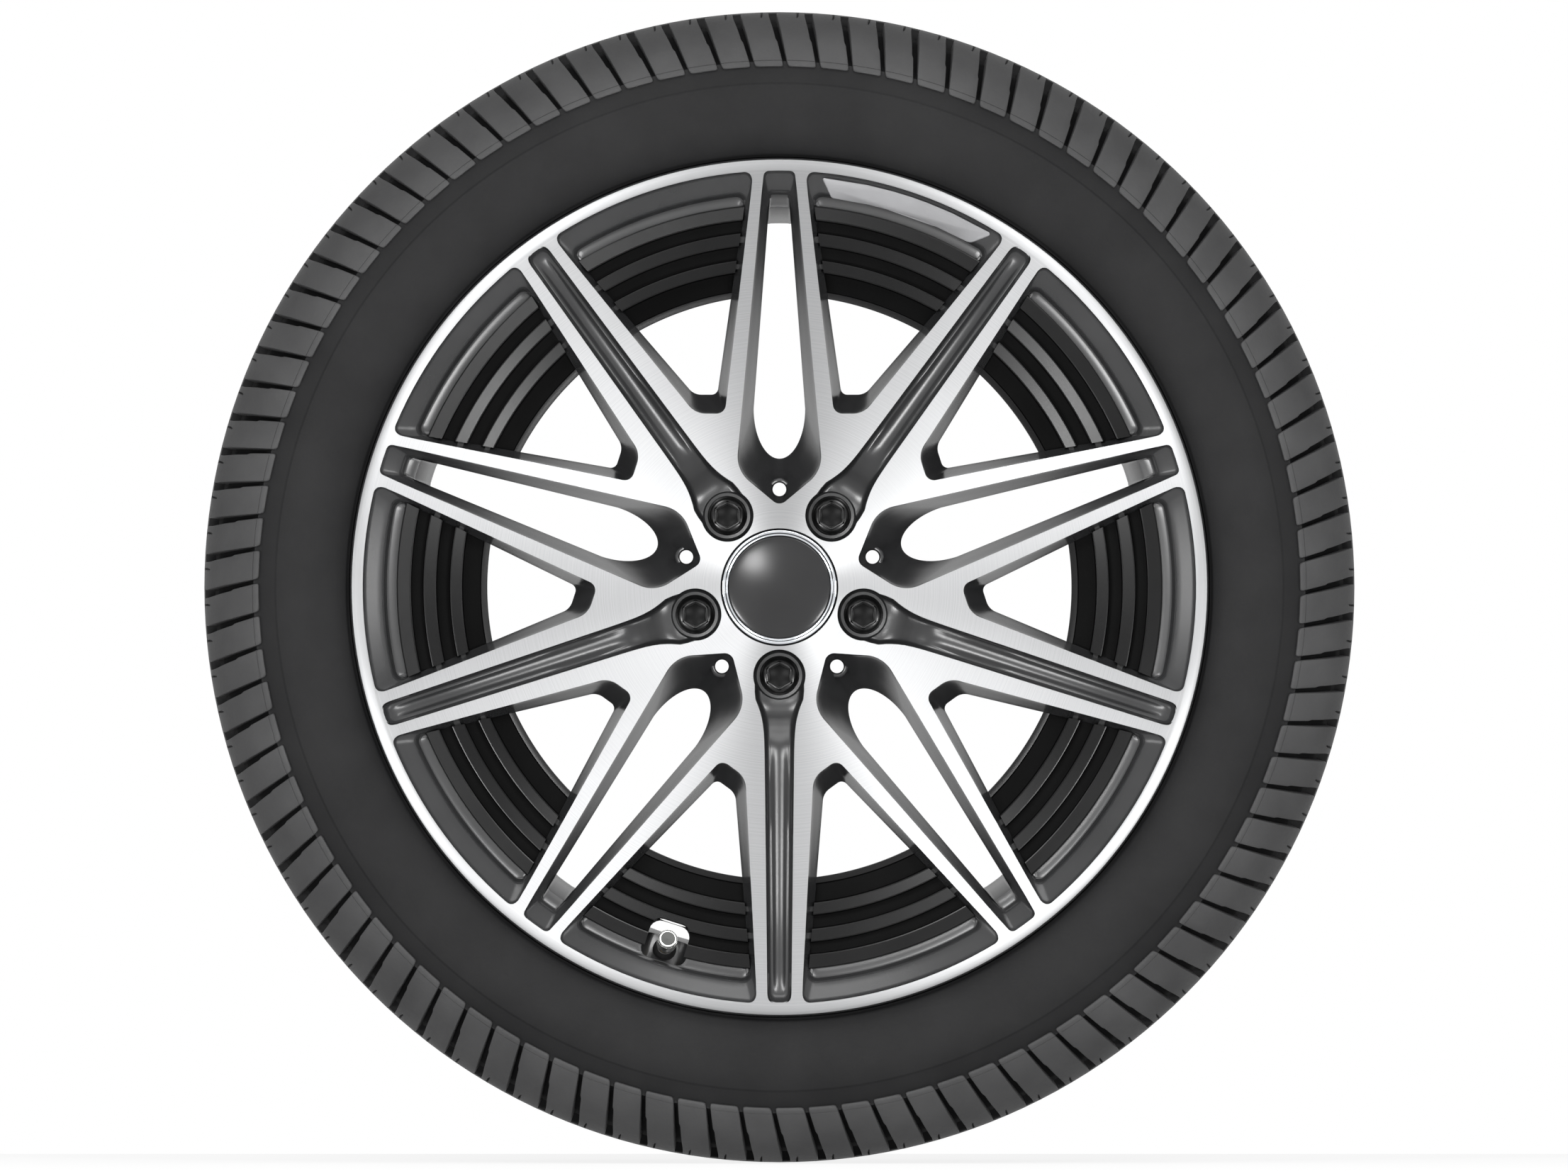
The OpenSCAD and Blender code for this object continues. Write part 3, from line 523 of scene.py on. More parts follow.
def groove_ring(u, narrow=0.0, raise_floor=0.0):
    """One section across the groove, from edge to edge over the crowned floor."""
    a, top = groove_half(u) - narrow, face_z(u)
    floor = groove_floor(u) + raise_floor
    crown = CROWN_HEIGHT * soft_step((u - 84) / 30) * (1 - soft_step((u - 246) / 14))
    half = [(a, top + 5), (a - 0.15, top - 1.0), (a - 0.8, blend_between(top, floor, 0.55)),
            (a - 1.15, floor + 2.9), (a - 1.65, floor + 1.75), (a - 2.4, floor + 0.9),
            (max(a - 3.3, a * 0.55), floor + 0.4 + 0.1 * crown),
            (max(a - 4.4, a * 0.45), floor + 0.15 + 0.35 * crown),
            (a * 0.36, floor + 0.78 * crown), (a * 0.18, floor + 0.95 * crown), (0, floor + crown)]
    return [(v, u, z) for v, z in half] + [(-v, u, z) for v, z in reversed(half[:-1])]


print("the groove is", round(2 * groove_half(97), 1), "mm wide at its root and",
      round(2 * groove_half(250), 1), "mm near the rim")

# %% Grooves, and all pockets cut
stations = [61, 66, 71, 75, 79, 83, 87, 92, 97, 103, 110, 125, 145, 165, 185, 205, 220, 234, 244, 250,
            254, 257]
groove_rings = [groove_ring(u) for u in stations]
# The last sections get narrower and shallower, which rounds the groove's outer end
groove_rings += [groove_ring(259.4, 0.3, 0.6), groove_ring(261.0, 0.9, 1.9), groove_ring(262.0, 1.9, 3.6),
                 groove_ring(262.5, 3.0, 5.4)]
groove = sleeve("groove_core", groove_rings)

cores = []
for k in range(SPOKES):
    cores.append(copy_turned(window, k * STEP, "window_a"))
    cores.append(copy_turned(window, k * STEP, "window_b", mirrored=True))
    cores.append(copy_turned(slot, k * STEP, "slot_core"))
    cores.append(copy_turned(groove, k * STEP + SECTOR, "groove_core"))
for pattern in (window, slot, groove):
    bpy.data.objects.remove(pattern)
cut(wheel, join(cores, "cores"))
print("casting with its windows:", len(wheel.data.polygons), "faces")

# %% [markdown]
# The last cuts are the ones a machine shop makes: bolt basins with their seats, and the small holes.
# The valve's spot face is a rounded pocket in the rim, square to the leaning valve.
# They could be part of the cores, but they cross the cored pockets, so they come as further booleans.

# %% Drilled and milled places
BOLT_CIRCLE_R = 56.0
VALVE_TURN, VALVE_R, VALVE_Z, VALVE_LEAN = 197.6, 240.5, 60.05, 20.0
AT_VALVE = (Matrix.Rotation(-math.radians(VALVE_TURN), 4, "Z")
            @ Matrix.Translation((0, VALVE_R, VALVE_Z))
            @ Matrix.Rotation(math.radians(VALVE_LEAN), 4, "X"))

basin = turn_on_lathe("basin", [
    (0, -6), (7.75, -6), (7.75, 14), (12.5, 22), (12.5, 24), (14.4, 24.1), (15.5, 24.9), (16.1, 26.6),
    (16.6, 44), (16.9, 64), (0, 64)], 64)
basin.data.transform(Matrix.Translation((0, BOLT_CIRCLE_R, 0)))
pin_hole = turn_on_lathe(
    "pin_hole", [(0, -6), (4.3, -6), (4.3, 26.3), (5.2, 27.7), (5.2, 60), (0, 60)], 32)
pin_hole.data.transform(Matrix.Translation((0, PIN_HOLE_R, 0)))
print("basin and pin hole:", len(basin.data.polygons), len(pin_hole.data.polygons), "faces")

# %% The valve's spot face and bore
def rounded_block(size, middle, radius, segments=5):
    """A cube at its size and place with rounded edges."""
    bpy.ops.object.select_all(action="DESELECT")
    bpy.ops.mesh.primitive_cube_add(size=1, scale=size, location=middle)
    obj = bpy.context.object
    bpy.ops.object.transform_apply(location=True, rotation=True, scale=True)
    bevel(obj, radius, segments)
    return obj


spot_face = rounded_block((29.6, 28.4, 40), (0, 0, 20), 6)
valve_bore = turn_on_lathe("valve_bore", [
    (0, -36), (10, -36), (10, -10), (5.65, -10), (5.65, 3), (0, 3)], 32)
for tool in (spot_face, valve_bore):
    tool.data.transform(AT_VALVE)
print("spot face:", len(spot_face.data.polygons), "faces, leaning by", VALVE_LEAN, "degrees")

# %% Machining
drills = []
for k in range(SPOKES):
    drills.append(copy_turned(basin, k * STEP + SECTOR, "basin"))
    drills.append(copy_turned(pin_hole, k * STEP, "pin_hole"))
for pattern in (basin, pin_hole):
    bpy.data.objects.remove(pattern)
cut(wheel, join(drills, "drills"))
cut(wheel, spot_face)
cut(wheel, valve_bore)
smooth(wheel, 32)
put_in_place(wheel)
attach(wheel, "wheel")
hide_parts("wheel")
print("finished casting:", len(wheel.data.polygons), "faces")

# %% [markdown]
# One pocket of the rim wall carries a raised plate, cast with the wheel and left plain here.
# A block laid on the wall would stand out at its ends, because the wall is a cone.
# So it is drawn as a low tube whose outlines follow that slope.
# Its top outline is a little smaller than its foot, which gives the soft edge of a casting.

# %% Plain plate in the rim's pocket
# Corners as (degrees clockwise, radius), their rounding, and the wall that carries the plate
PLATE_CORNERS = [(5.9, 260.2), (31.2, 260.6), (29.0, 248.6), (7.6, 248.3)]
PLATE_ROUNDING = [0.9, 1.4, 6.0, 3.0]
MM_PER_DEGREE = 4.4
PLATE_WALL_R, PLATE_WALL_Z, PLATE_WALL_SLOPE = 260.6, 95.1, 0.706


def plate_ring(inset, lift):
    """Outline of the plate, a little smaller by the inset, on the slope of the pocket's outer wall."""
    flat = [Vector((a * MM_PER_DEGREE, r)) for a, r in PLATE_CORNERS]
    middle = sum(flat, Vector((0, 0))) / 4
    flat = [p + (middle - p).normalized() * inset for p in flat]
    points = []
    for i, p in enumerate(flat):
        points += fillet(flat[i - 1], p, flat[(i + 1) % 4], PLATE_ROUNDING[i], 6)
        following = flat[(i + 1) % 4]
        points += [p.lerp(following, t) for t in ((0.25, 0.4, 0.5, 0.6, 0.75) if i % 2 == 0 else (0.5,))]
    ring = []
    for p in points:
        x, y = clockwise(0, p.y, p.x / MM_PER_DEGREE)
        ring.append((x, y, PLATE_WALL_Z + (p.y - PLATE_WALL_R) * PLATE_WALL_SLOPE + lift))
    return ring


plate = sleeve("rim_plate", [plate_ring(inset, lift) for inset, lift in
                             ((0, -5.5), (0, 0.45), (0.25, 0.85), (0.8, 1.05))])
smooth(plate, 40)
put_in_place(plate)
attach(plate, "wheel")
print("plate:", len(plate.data.polygons), "faces")

# %% [markdown]
# The tyre is a turned body with a ring of separate tread blocks on each shoulder.
# The grooves could also be cut with booleans, but two hundred cuts would be slow and hard to control.
# So one block is shaped and then copied a hundred times, as the segments of a tyre mould do.
# The turned body has the side walls, the ribs and the floors of all grooves.
# Its inside is hollow, so it closes on the rim as a real tyre does.

# %% The tyre's drawing sizes
# The tyre is drawn around its own middle plane, as (radius, width), and moved to MID_Z at the end
TYRE_R, MID_Z = 364.6, -38.0
SIDE_R, SIDE_CENTRE = 55.0, (303.9, 84.0)
SHOULDER_R, SHOULDER_CENTRE = 44.5, (320.0, 91.0)
CROWN_R, CROWN_W, RIB_W, EDGE_DROP, EDGE_W = 363.13, 77.5, 45, 2.73, 32.5
TREAD_DEPTH, RIB_DEPTH, SKIN = 6.0, 7.5, 0.05
GROOVE_IN_R, GROOVE_IN_W = 332.5, 74
BLOCKS = 100


def side_wall(r):
    """Distance of the side wall from the tyre's middle plane."""
    return SIDE_CENTRE[1] + math.sqrt(SIDE_R ** 2 - (r - SIDE_CENTRE[0]) ** 2)


def shoulder(angle, depth=0.0):
    """A point (radius, width) of the shoulder's arc, some depth under its skin."""
    a = math.radians(angle)
    return (SHOULDER_CENTRE[0] + (SHOULDER_R - depth) * math.sin(a),
            SHOULDER_CENTRE[1] + (SHOULDER_R - depth) * math.cos(a))


def crown_r(width):
    """Radius of the tread's skin between its edge and its middle."""
    if width > CROWN_W:
        return blend_between(CROWN_R, CROWN_R - EDGE_DROP, (width - CROWN_W) / EDGE_W)
    return blend_between(TYRE_R, CROWN_R, max(width - RIB_W, 0) / EDGE_W)


print("widest at", round(side_wall(SIDE_CENTRE[0]), 1), "mm from the middle; tread edge at",
      round(crown_r(CROWN_W), 1), "mm radius")

# %% Tyre body
bead = [(252.6, 102.7), (254.1, 117.9), (257, 120.4), (264.7, 120.4), (268.2, 121.6), (270.8, 124.3),
        (271.9, 128.0), (272.3, 128.9), (273.4, 129.3)]
# Radii of the side wall's rows, and how far the wall steps back beyond its moulded ring
wall_rows = [274.0, 274.5, 275.2, 278, 283, 289, 296, 303.9, 310, 315, 317.8, 318.4]
stepped_rows = {318.9: 0.45, 319.6: 0.5, 323: 0.55, 326.5: 0.6, 329: 0.65, 331: 0.7}
wall_line = [(r, side_wall(r) - SKIN) for r in wall_rows]
wall_line += [(r, side_wall(r) - SKIN - step) for r, step in stepped_rows.items()]
floor_line = [shoulder(a, blend_between(2.2, TREAD_DEPTH, soft_step((a - 15) / 12)))
              for a in (17.5, 21, 25, 30, 38, 46, 54, 62)]
floor_line += [(crown_r(w) - TREAD_DEPTH, w) for w in (102, 88, 75.2)]
rib_line = [(crown_r(75) - RIB_DEPTH, 74.8), (crown_r(70) - RIB_DEPTH, 65.4), (crown_r(65) - 7.2, 65.1),
            (crown_r(65) - 0.7, 64.9), (crown_r(64) - SKIN, 64.2), (crown_r(45), 47), (TYRE_R, 30),
            (TYRE_R - SKIN, 29.8), (TYRE_R - 0.7, 29.1), (TYRE_R - 7.2, 28.9), (TYRE_R - RIB_DEPTH, 28.6),
            (TYRE_R - RIB_DEPTH, 19.4), (TYRE_R - 7.2, 19.1), (TYRE_R - 0.7, 18.9),
            (TYRE_R - SKIN, 18.2), (TYRE_R, 17)]
outer_half = bead + wall_line + floor_line + rib_line
inner_half = [(265.9, 110.2), (275, 119.9), (290, 127.9), (303.9, 130), (320, 127.2), (335, 118.2),
              (346.6, 101.2), (349.6, 60)]
tyre_outline = (outer_half + [(r, -w) for r, w in reversed(outer_half)]
                + [(r, -w) for r, w in inner_half] + inner_half[::-1])
tyre = turn_on_lathe("tyre_body", tyre_outline, 200)
add_slots(tyre, "tyre_side", "tyre_groove_painted_shade")
# Faces between the shoulder blocks get the darker groove rubber, which is painted shade for the depth of
# the grooves.
for polygon in tyre.data.polygons:
    middle = polygon.center
    in_groove_shade = middle.xy.length > GROOVE_IN_R and abs(middle.z) > GROOVE_IN_W
    polygon.material_index = 1 if in_groove_shade else 0
print("tyre body:", len(tyre.data.polygons), "faces")

# %% [markdown]
# A shoulder block is bounded by two curved grooves that lean over the shoulder and narrow inwards.
# A grid is laid over the shoulder's skin between the two grooves, and its border is drawn down as walls.
# Rows close together at the inner end give the small lit step, and the middle has a short sipe.

# %% Outline of a block
PITCH = 360 / BLOCKS
# Radius, and the two edges of a groove in degrees clockwise from the middle of its pitch
GROOVE_EDGES = [(325, 0.66, 1.02), (329.5, 0.50, 0.94), (333, 0.34, 0.79), (337, 0.17, 0.64),
                (341, 0.0, 0.50), (345.8, -0.20, 0.33), (346.9, -0.36, 0.28), (351, -0.52, 0.16),
                (355.5, -0.72, -0.02), (360.4, -0.98, -0.19), (362.2, -1.06, -0.26), (364.6, -1.10, -0.30)]


def groove_edge(r, side):
    """Degrees to the left (0) or right (1) edge of a groove, read from the table above."""
    for (r0, *a), (r1, *b) in zip(GROOVE_EDGES, GROOVE_EDGES[1:]):
        if r <= r1:
            return blend_between(a[side], b[side], (r - r0) / (r1 - r0))
    return GROOVE_EDGES[-1][1 + side]


def block_rows():
    """Rows of a block over the shoulder, each as its (radius, width) and the outward direction."""
    rows = []
    for a in (12.33, 12.6, 13.4, 15.2, 17.2, 17.5, 20, 25, 30.5, 35, 36.5, 38, 43, 49, 55, 61, 65.2):
        out = Vector((math.sin(math.radians(a)), math.cos(math.radians(a))))
        rows.append((Vector(shoulder(a)), out))
    for r, w, lean in ((362.2, 105, 0.32), (363.3, 101, 0.17), (363.8, 93, 0.05), (363.9, 79.5, 0.0),
                       (363.9, 78.5, 0.0), (363.8, 76, 0.0), (363.6, 75.4, 0.0)):
        rows.append((Vector((r, w)), Vector((1, lean))))
    return rows


rows = block_rows()
print("a block has", len(rows), "rows and leans by",
      round(groove_edge(325, 0) - groove_edge(TYRE_R, 0), 2), "degrees")

# %% One tread block
COLUMNS = 15
LAST_COLUMN, LAST_ROW = COLUMNS - 1, len(rows) + 1
SIPE_COLUMN, SIPE_HALF, SIPE_DEPTH, SIPE_FIRST_ROW = 7, 0.9, 2.2, 16
CORNER_ROWS, CORNER_SIZE = 3.2, 2.2
EDGE_GAP, EDGE_ROUNDING, EDGE_SINK = 0.05, 0.35, {1: 0.75, 2: 0.2, 12: 0.2, 13: 0.75}


def block_columns(k):
    """Degrees of the columns in row k: the edges, their rounding, and the sipe in the middle."""
    r = rows[k][0].x
    degree = math.degrees(1 / r)
    # The block's inner corners are rounded, so its first rows are shorter
    shorter = EDGE_GAP * degree + max(0.0, 1 - k / CORNER_ROWS) ** 2 * CORNER_SIZE * degree
    left, right = groove_edge(r, 1) - PITCH + shorter, groove_edge(r, 0) - shorter
    middle = (left + right) / 2 if r < 350 else -PITCH / 2 + 0.02
    return [left, left, left + EDGE_ROUNDING * degree, left + 1.1 * degree,
            blend_between(left, middle, 0.45), middle - 2.4 * degree, middle - SIPE_HALF * degree,
            middle, middle + SIPE_HALF * degree, middle + 2.4 * degree,
            blend_between(middle, right, 0.55), right - 1.1 * degree, right - EDGE_ROUNDING * degree,
            right, right]


def block_sink(i, j, k):
    """How far a point lies under the tyre's skin: rounded edges, the step, the sipe and the walls."""
    if i in (0, LAST_COLUMN) or j in (0, LAST_ROW):
        return 7.2 if k > 8 else 2.6 + 0.5 * k
    sunk = EDGE_SINK.get(i, 0.0)
    if k < 3:
        sunk += (0.9, 0.45, 0.12)[k]
    if k < 5:
        sunk += 0.55
    if k > len(rows) - 3:
        sunk += (0.15, 0.7)[k - len(rows) + 2]
    if SIPE_FIRST_ROW < k < len(rows) - 3 and i == SIPE_COLUMN:
        sunk += SIPE_DEPTH
    return sunk


bpy.ops.object.select_all(action="DESELECT")
bpy.ops.mesh.primitive_grid_add(x_subdivisions=LAST_COLUMN, y_subdivisions=LAST_ROW, size=2)
block = bpy.context.object
for v in block.data.vertices:
    i = round((v.co.x + 1) / 2 * LAST_COLUMN)
    j = round((v.co.y + 1) / 2 * LAST_ROW)
    k = min(max(j - 1, 0), len(rows) - 1)
    point, out = rows[k]
    place = point - out * block_sink(i, j, k)
    x, y = clockwise(0, place.x, block_columns(k)[i])
    v.co = (x, y, place.y)
edit(block)
bpy.ops.mesh.select_all(action="DESELECT")
bpy.ops.mesh.select_mode(type="EDGE")
bpy.ops.mesh.select_non_manifold()
bpy.ops.mesh.edge_face_add()
leave_edit()
clean(block, 0.0005)
print("one block:", len(block.data.polygons), "faces")

# %% Two rings of blocks
blocks = []
for k in range(BLOCKS):
    blocks.append(copy_turned(block, k * PITCH, "block"))
bpy.data.objects.remove(block)
front = join(blocks, "front_blocks")
back = front.copy()
back.data = front.data.copy()
bpy.context.scene.collection.objects.link(back)
back.data.transform(Matrix.Rotation(-math.radians(PITCH / 2), 4, "Z") @ Matrix.Scale(-1, 4, (0, 0, 1)))
back.data.flip_normals()
back.name = back.data.name = "back_blocks"
for part in (tyre, front, back):
    part.data.transform(Matrix.Translation((0, 0, MID_Z)))
    smooth(part, 35)
    put_in_place(part)
    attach(part, "wheel")
    print(part.name, len(part.data.polygons), "faces")
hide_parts("tyre")

# %% [markdown]
# Ten black inserts close the outer part of the ten windows and hold the air back from the spokes.
# Each is a stepped plate: three flat ribs with deep valleys between them, falling towards its inner edge.
# Boxes bent around the axis would need a bend that leaves the steps uneven.
# So its section is turned through one sector on the lathe, and its chamfers catch thin lines of light.
# Two bisects then trim it to the spokes beside it, as a saw would.

# %% Section of an insert
# The trimmed ends reach a little into the spokes, so that no slit of light shows between them
INSERT_WALL = 2.4
INSERT_GAP = -0.25
INSERT_TOP = LEDGE_Z + INSERT_WALL
# Radius and height of the insert's upper side; each rib has a narrow chamfer along both edges
insert_top = [(INSERT_R, -0.3), (241.3, 0), (233.9, 0), (233.1, -0.3), (232.7, -9), (225.7, -10),
              (225.3, -6.3), (224.5, -6.2), (217.9, -7.8), (217.1, -8.3), (216.7, -18), (208.9, -19),
              (208.5, -14.3), (207.7, -14.2), (201.6, -15.8), (200.8, -16.3), (200.3, -27), (189.6, -30.8),
              (188.8, -30), (184.9, -30)]
# The lower side follows it one wall away, in and out of the valleys
insert_low = [(INSERT_R, 0), (233.1 + INSERT_WALL, 0), (232.7 + INSERT_WALL, -9),
              (225.7 - INSERT_WALL, -10), (225.3 - INSERT_WALL, -6), (217.1 + INSERT_WALL, -8),
              (216.7 + INSERT_WALL, -18), (208.9 - INSERT_WALL, -19), (208.5 - INSERT_WALL, -14),
              (200.8 + INSERT_WALL, -16), (200.3 + INSERT_WALL, -27), (189.6, -30.8), (188.8, -30),
              (184.9, -30)]
section = [(r, INSERT_TOP + z) for r, z in insert_top]
section += [(r, INSERT_TOP + z - INSERT_WALL + 0.02) for r, z in reversed(insert_low)]
section = rounded(section, 0.35, 30)
print("section:", len(section), "points, from", min(r for r, _ in section), "to",
      max(r for r, _ in section), "mm radius")

# %% One insert, turned and trimmed
strip = path("insert", [(r, 0, z) for r, z in section + section[:1]])
edit(strip)
bpy.ops.mesh.remove_doubles(threshold=0.001)
bpy.ops.mesh.select_all(action="SELECT")
bpy.ops.mesh.spin(steps=30, angle=math.radians(SECTOR), center=(0, 0, 0), axis=(0, 0, 1))
leave_edit()
strip.data.transform(Matrix.Rotation(math.radians(90), 4, "Z"))
edit(strip)
for (root, tip), inward in zip(window_sides(1), (1, -1)):
    run = (tip - root).normalized()
    normal = Vector((run.y, -run.x)) * inward
    point = root + normal * INSERT_GAP
    bpy.ops.mesh.select_all(action="SELECT")
    bpy.ops.mesh.bisect(plane_co=(point.x, point.y, 0), plane_no=(-normal.x, -normal.y, 0),
                        use_fill=True, clear_outer=True)
leave_edit()
clean(strip, 0.001)
# Radii of the valleys, whose faces are painted near-black as painted shade
PAINTED_SHADE_VALLEYS = ((225.55, 232.95), (208.75, 216.95), (189, 200.65))


def in_painted_valley_shade(polygon):
    """Faces between the ribs, and those of the plate's low inner part, which get a near-black finish as
    painted shade.
    """
    r = polygon.center.xy.length
    return any(a < r < b for a, b in PAINTED_SHADE_VALLEYS) or polygon.normal.z < 0.3


add_slots(strip, "insert_ribs", "insert_valley_painted_shade")
for polygon in strip.data.polygons:
    polygon.material_index = 1 if in_painted_valley_shade(polygon) else 0
print("one insert:", len(strip.data.polygons), "faces,",
      sum(p.material_index for p in strip.data.polygons), "of them in its valleys")

# %% Ten inserts, one with the valve's notch
notch = rounded_block((26, 60, 70), (0, 17.5, 25), 7)
notch.data.transform(AT_VALVE)
for number in range(1, 2 * SPOKES + 1):
    turned = copy_turned(strip, (number // 2) * STEP, f"insert_{number}", mirrored=number % 2 == 0)
    if number == 6:
        cut(turned, notch)
    smooth(turned, 12)
    put_in_place(turned)
    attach(turned, "wheel")
    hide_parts(f"aero_insert_{number}")
bpy.data.objects.remove(strip)
print("inserts:", len(turned.data.polygons), "faces each")

# %% [markdown]
# Five bolts hold the wheel: a cone and collar, a hexagonal head with a raised rim, and a hexagonal socket.
# The socket could be a boolean, but a six-sided cylinder whose top is inset and pushed in stays cleaner.
# It is also how the socket is forged. The shank below is turned separately and joined to the head.

# %% The head of a bolt
def hexagon(across_flats, depth, low, name):
    """A six-sided cylinder standing on the height low."""
    bpy.ops.object.select_all(action="DESELECT")
    bpy.ops.mesh.primitive_cylinder_add(
        vertices=6, radius=across_flats / math.sqrt(3), depth=depth, location=(0, 0, low + depth / 2))
    obj = bpy.context.object
    obj.name = obj.data.name = name
    bpy.ops.object.transform_apply(location=True, rotation=True, scale=True)
    return obj


head = hexagon(16.6, 12.6, 25.5, "bolt_head")
edit(head)
bpy.ops.mesh.select_mode(type="FACE")
bpy.ops.mesh.select_all(action="DESELECT")
leave_edit()
for polygon in head.data.polygons:
    polygon.select = polygon.normal.z > 0.9
bpy.ops.object.mode_set(mode="EDIT")
bpy.ops.mesh.inset(thickness=1.25, depth=0)
bpy.ops.mesh.inset(thickness=0.35, depth=-0.6)
bpy.ops.mesh.inset(thickness=0.55, depth=-0.25)
bpy.ops.mesh.extrude_region_move(TRANSFORM_OT_translate={"value": (0, 0, -6.5)})
leave_edit()
bevel(head, 0.25, 2, 25)
# What the head shares with a turned cone loses its sharp corners
cone = turn_on_lathe("bolt_cone", [(0, 20), (9.9, 20), (9.9, 36.6), (8.4, 38.15), (0, 38.4)], 48)
cut(head, cone, "INTERSECT")
# The socket's faces get a near-black finish, which is painted shade in its recess.
SOCKET_R, SOCKET_TOP = 6.8, 37.0
add_slots(head, "black_zinc", "socket_painted_shade")
for polygon in head.data.polygons:
    middle = polygon.center
    polygon.material_index = 1 if middle.xy.length < SOCKET_R and middle.z < SOCKET_TOP else 0
print("head:", len(head.data.polygons), "faces")

# %% Five bolts
shank = turn_on_lathe("bolt_shank", [
    (0, -25), (6.2, -25), (7, -24), (7, 14), (12, 21.9), (12.2, 22.2), (12.2, 25.2), (11.9, 26.0),
    (11.2, 26.3), (10.6, 26.1), (10.2, 26.3), (9.4, 26.6), (0, 26.6)], 64)
add_slots(shank, "black_zinc", "socket_painted_shade")
join([shank, head], "bolt")
shank.data.transform(Matrix.Translation((0, BOLT_CIRCLE_R, 0)))
for number in range(1, SPOKES + 1):
    bolt = copy_turned(shank, 0, f"bolt_{number}")
    # Each bolt is moved without turning it, so all sockets stand the same way up
    x, y = clockwise(0, BOLT_CIRCLE_R, SECTOR + (number - 1) * STEP)
    bolt.data.transform(Matrix.Translation((x, y - BOLT_CIRCLE_R, 0)))
    smooth(bolt, 30)
    put_in_place(bolt)
    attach(bolt, "wheel")
    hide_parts(f"wheel_bolt_{number}")
bpy.data.objects.remove(shank)
print("bolts:", len(bolt.data.polygons), "faces each")

# %% [markdown]
# The centre cap is a bright ring around a dark disc that is slightly domed.
# The ring has a rounded crest with a narrow groove on either side, so its reflections break into lines.
# A torus would give only one broad reflection, so both are turned from outlines on the lathe.

# %% Centre cap
DOME_TOP, DOME_FALL = 41.3, 0.78 / 520
ring = turn_on_lathe("cap_ring", rounded([
    (32.55, 37.3), (36.95, 37.3), (36.95, 39.8), (36.75, 40.7), (36.3, 41.4), (35.7, 41.85), (35.1, 41.95),
    (34.6, 41.8), (34.2, 41.2), (33.75, 40.55), (33.3, 40.45), (32.95, 40.5), (32.7, 40.2), (32.55, 39.6)],
    0.3, 12), 180)
disc = turn_on_lathe("cap_disc", [(0, 37.3), (32.3, 37.3), (32.3, 39.3), (32.1, 39.65), (31.6, 39.75)]
                     + [(r, DOME_TOP - r * r * DOME_FALL) for r in (30, 27, 23, 18, 12, 6, 0)], 96)
for part, name, slot_name, angle in ((ring, "cap_ring", "bright_chrome", 40),
                                     (disc, "cap_disc", "cap_grey", 50)):
    smooth(part, angle)
    put_in_place(part)
    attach(part, "wheel")
    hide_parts(name)
    part.name = name + "_finished"
print("cap:", len(ring.data.polygons), len(disc.data.polygons), "faces")

# %% [markdown]
# The valve stands on the rim in a rubber cone, with a knurled metal cap on its threaded stem.
# A bump pattern could fake the knurl, but its ribs show at the cap's edge, so they are real geometry.
# One rib is repeated around the cap, and the cap's top has a raised ring with a plain dark centre.
# The cap moves by itself along the stem, so it rides on its own body, and the boot stays on the wheel.

# %% The valve's rubber boot and metal cap
# All of it is drawn upright with its foot at zero, and leans only when it is put at its place
CAP_MOUTH, CAP_TOP_R, CAP_TOP_Z = 10.8, 4.36, 10.5
KNURL_RIBS = 36
rubber = turn_on_lathe("valve_boot", rounded([
    (4.0, -15), (7.2, -15), (9.2, -12.5), (9.2, -10.1), (5.5, -10.1), (5.5, 0.15), (7.4, 0.15), (7.4, 1.4),
    (6.2, 4.2), (5.25, 6.0), (4.0, 6.0)], 0.5, 20), 48)
body = turn_on_lathe("valve_cap_body", rounded([
    (4.05, 0), (5.9, 0), (6.05, 0.5), (6.05, 9.9), (5.6, 10.6), (5.0, 10.95), (4.55, 10.95), (4.35, 10.6),
    (0, 10.6), (0, 9.4), (4.05, 9.4)], 0.12, 20), 72)
bpy.ops.object.select_all(action="DESELECT")
bpy.ops.mesh.primitive_cylinder_add(vertices=6, radius=0.32, depth=8.6, location=(6.02, 0, 5.3))
rib = bpy.context.object
bpy.ops.object.transform_apply(location=True, rotation=True, scale=True)
bevel(rib, 0.12, 1, 60)
edit(rib)
bpy.ops.mesh.spin(steps=KNURL_RIBS, dupli=True, angle=2 * math.pi, center=(0, 0, 0), axis=(0, 0, 1))
leave_edit()
clean(rib, 0.001)
join([body, rib], "valve_cap_body")
add_slots(body, "cap_metal", "cap_centre")
for polygon in body.data.polygons:
    middle = polygon.center
    polygon.material_index = 1 if middle.xy.length < CAP_TOP_R and middle.z > CAP_TOP_Z else 0
print("knurl:", KNURL_RIBS, "ribs")

# %% The valve in its place
body.data.transform(Matrix.Translation((0, 0, CAP_MOUTH)))
for part, body_name, node, slot_name in (
        (rubber, "wheel", "valve_rubber", "valve_rubber"), (body, "cap", "valve_cap", "cap_nickel")):
    part.data.transform(AT_VALVE)
    smooth(part, 35)
    put_in_place(part)
    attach(part, body_name)
    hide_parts(node)
print("valve:", len(rubber.data.polygons), len(body.data.polygons), "faces")

# %% [markdown]
# A material here is a small network of nodes around one Principled shader, with no picture in it.
# Its patterns are measured on the object's own coordinates, so they stay put when the camera moves.
# Numbers that are the same everywhere are typed into the shader itself, so that an export finds them.
# A few small helpers join the nodes, so that each finish below is one line that can be compared.

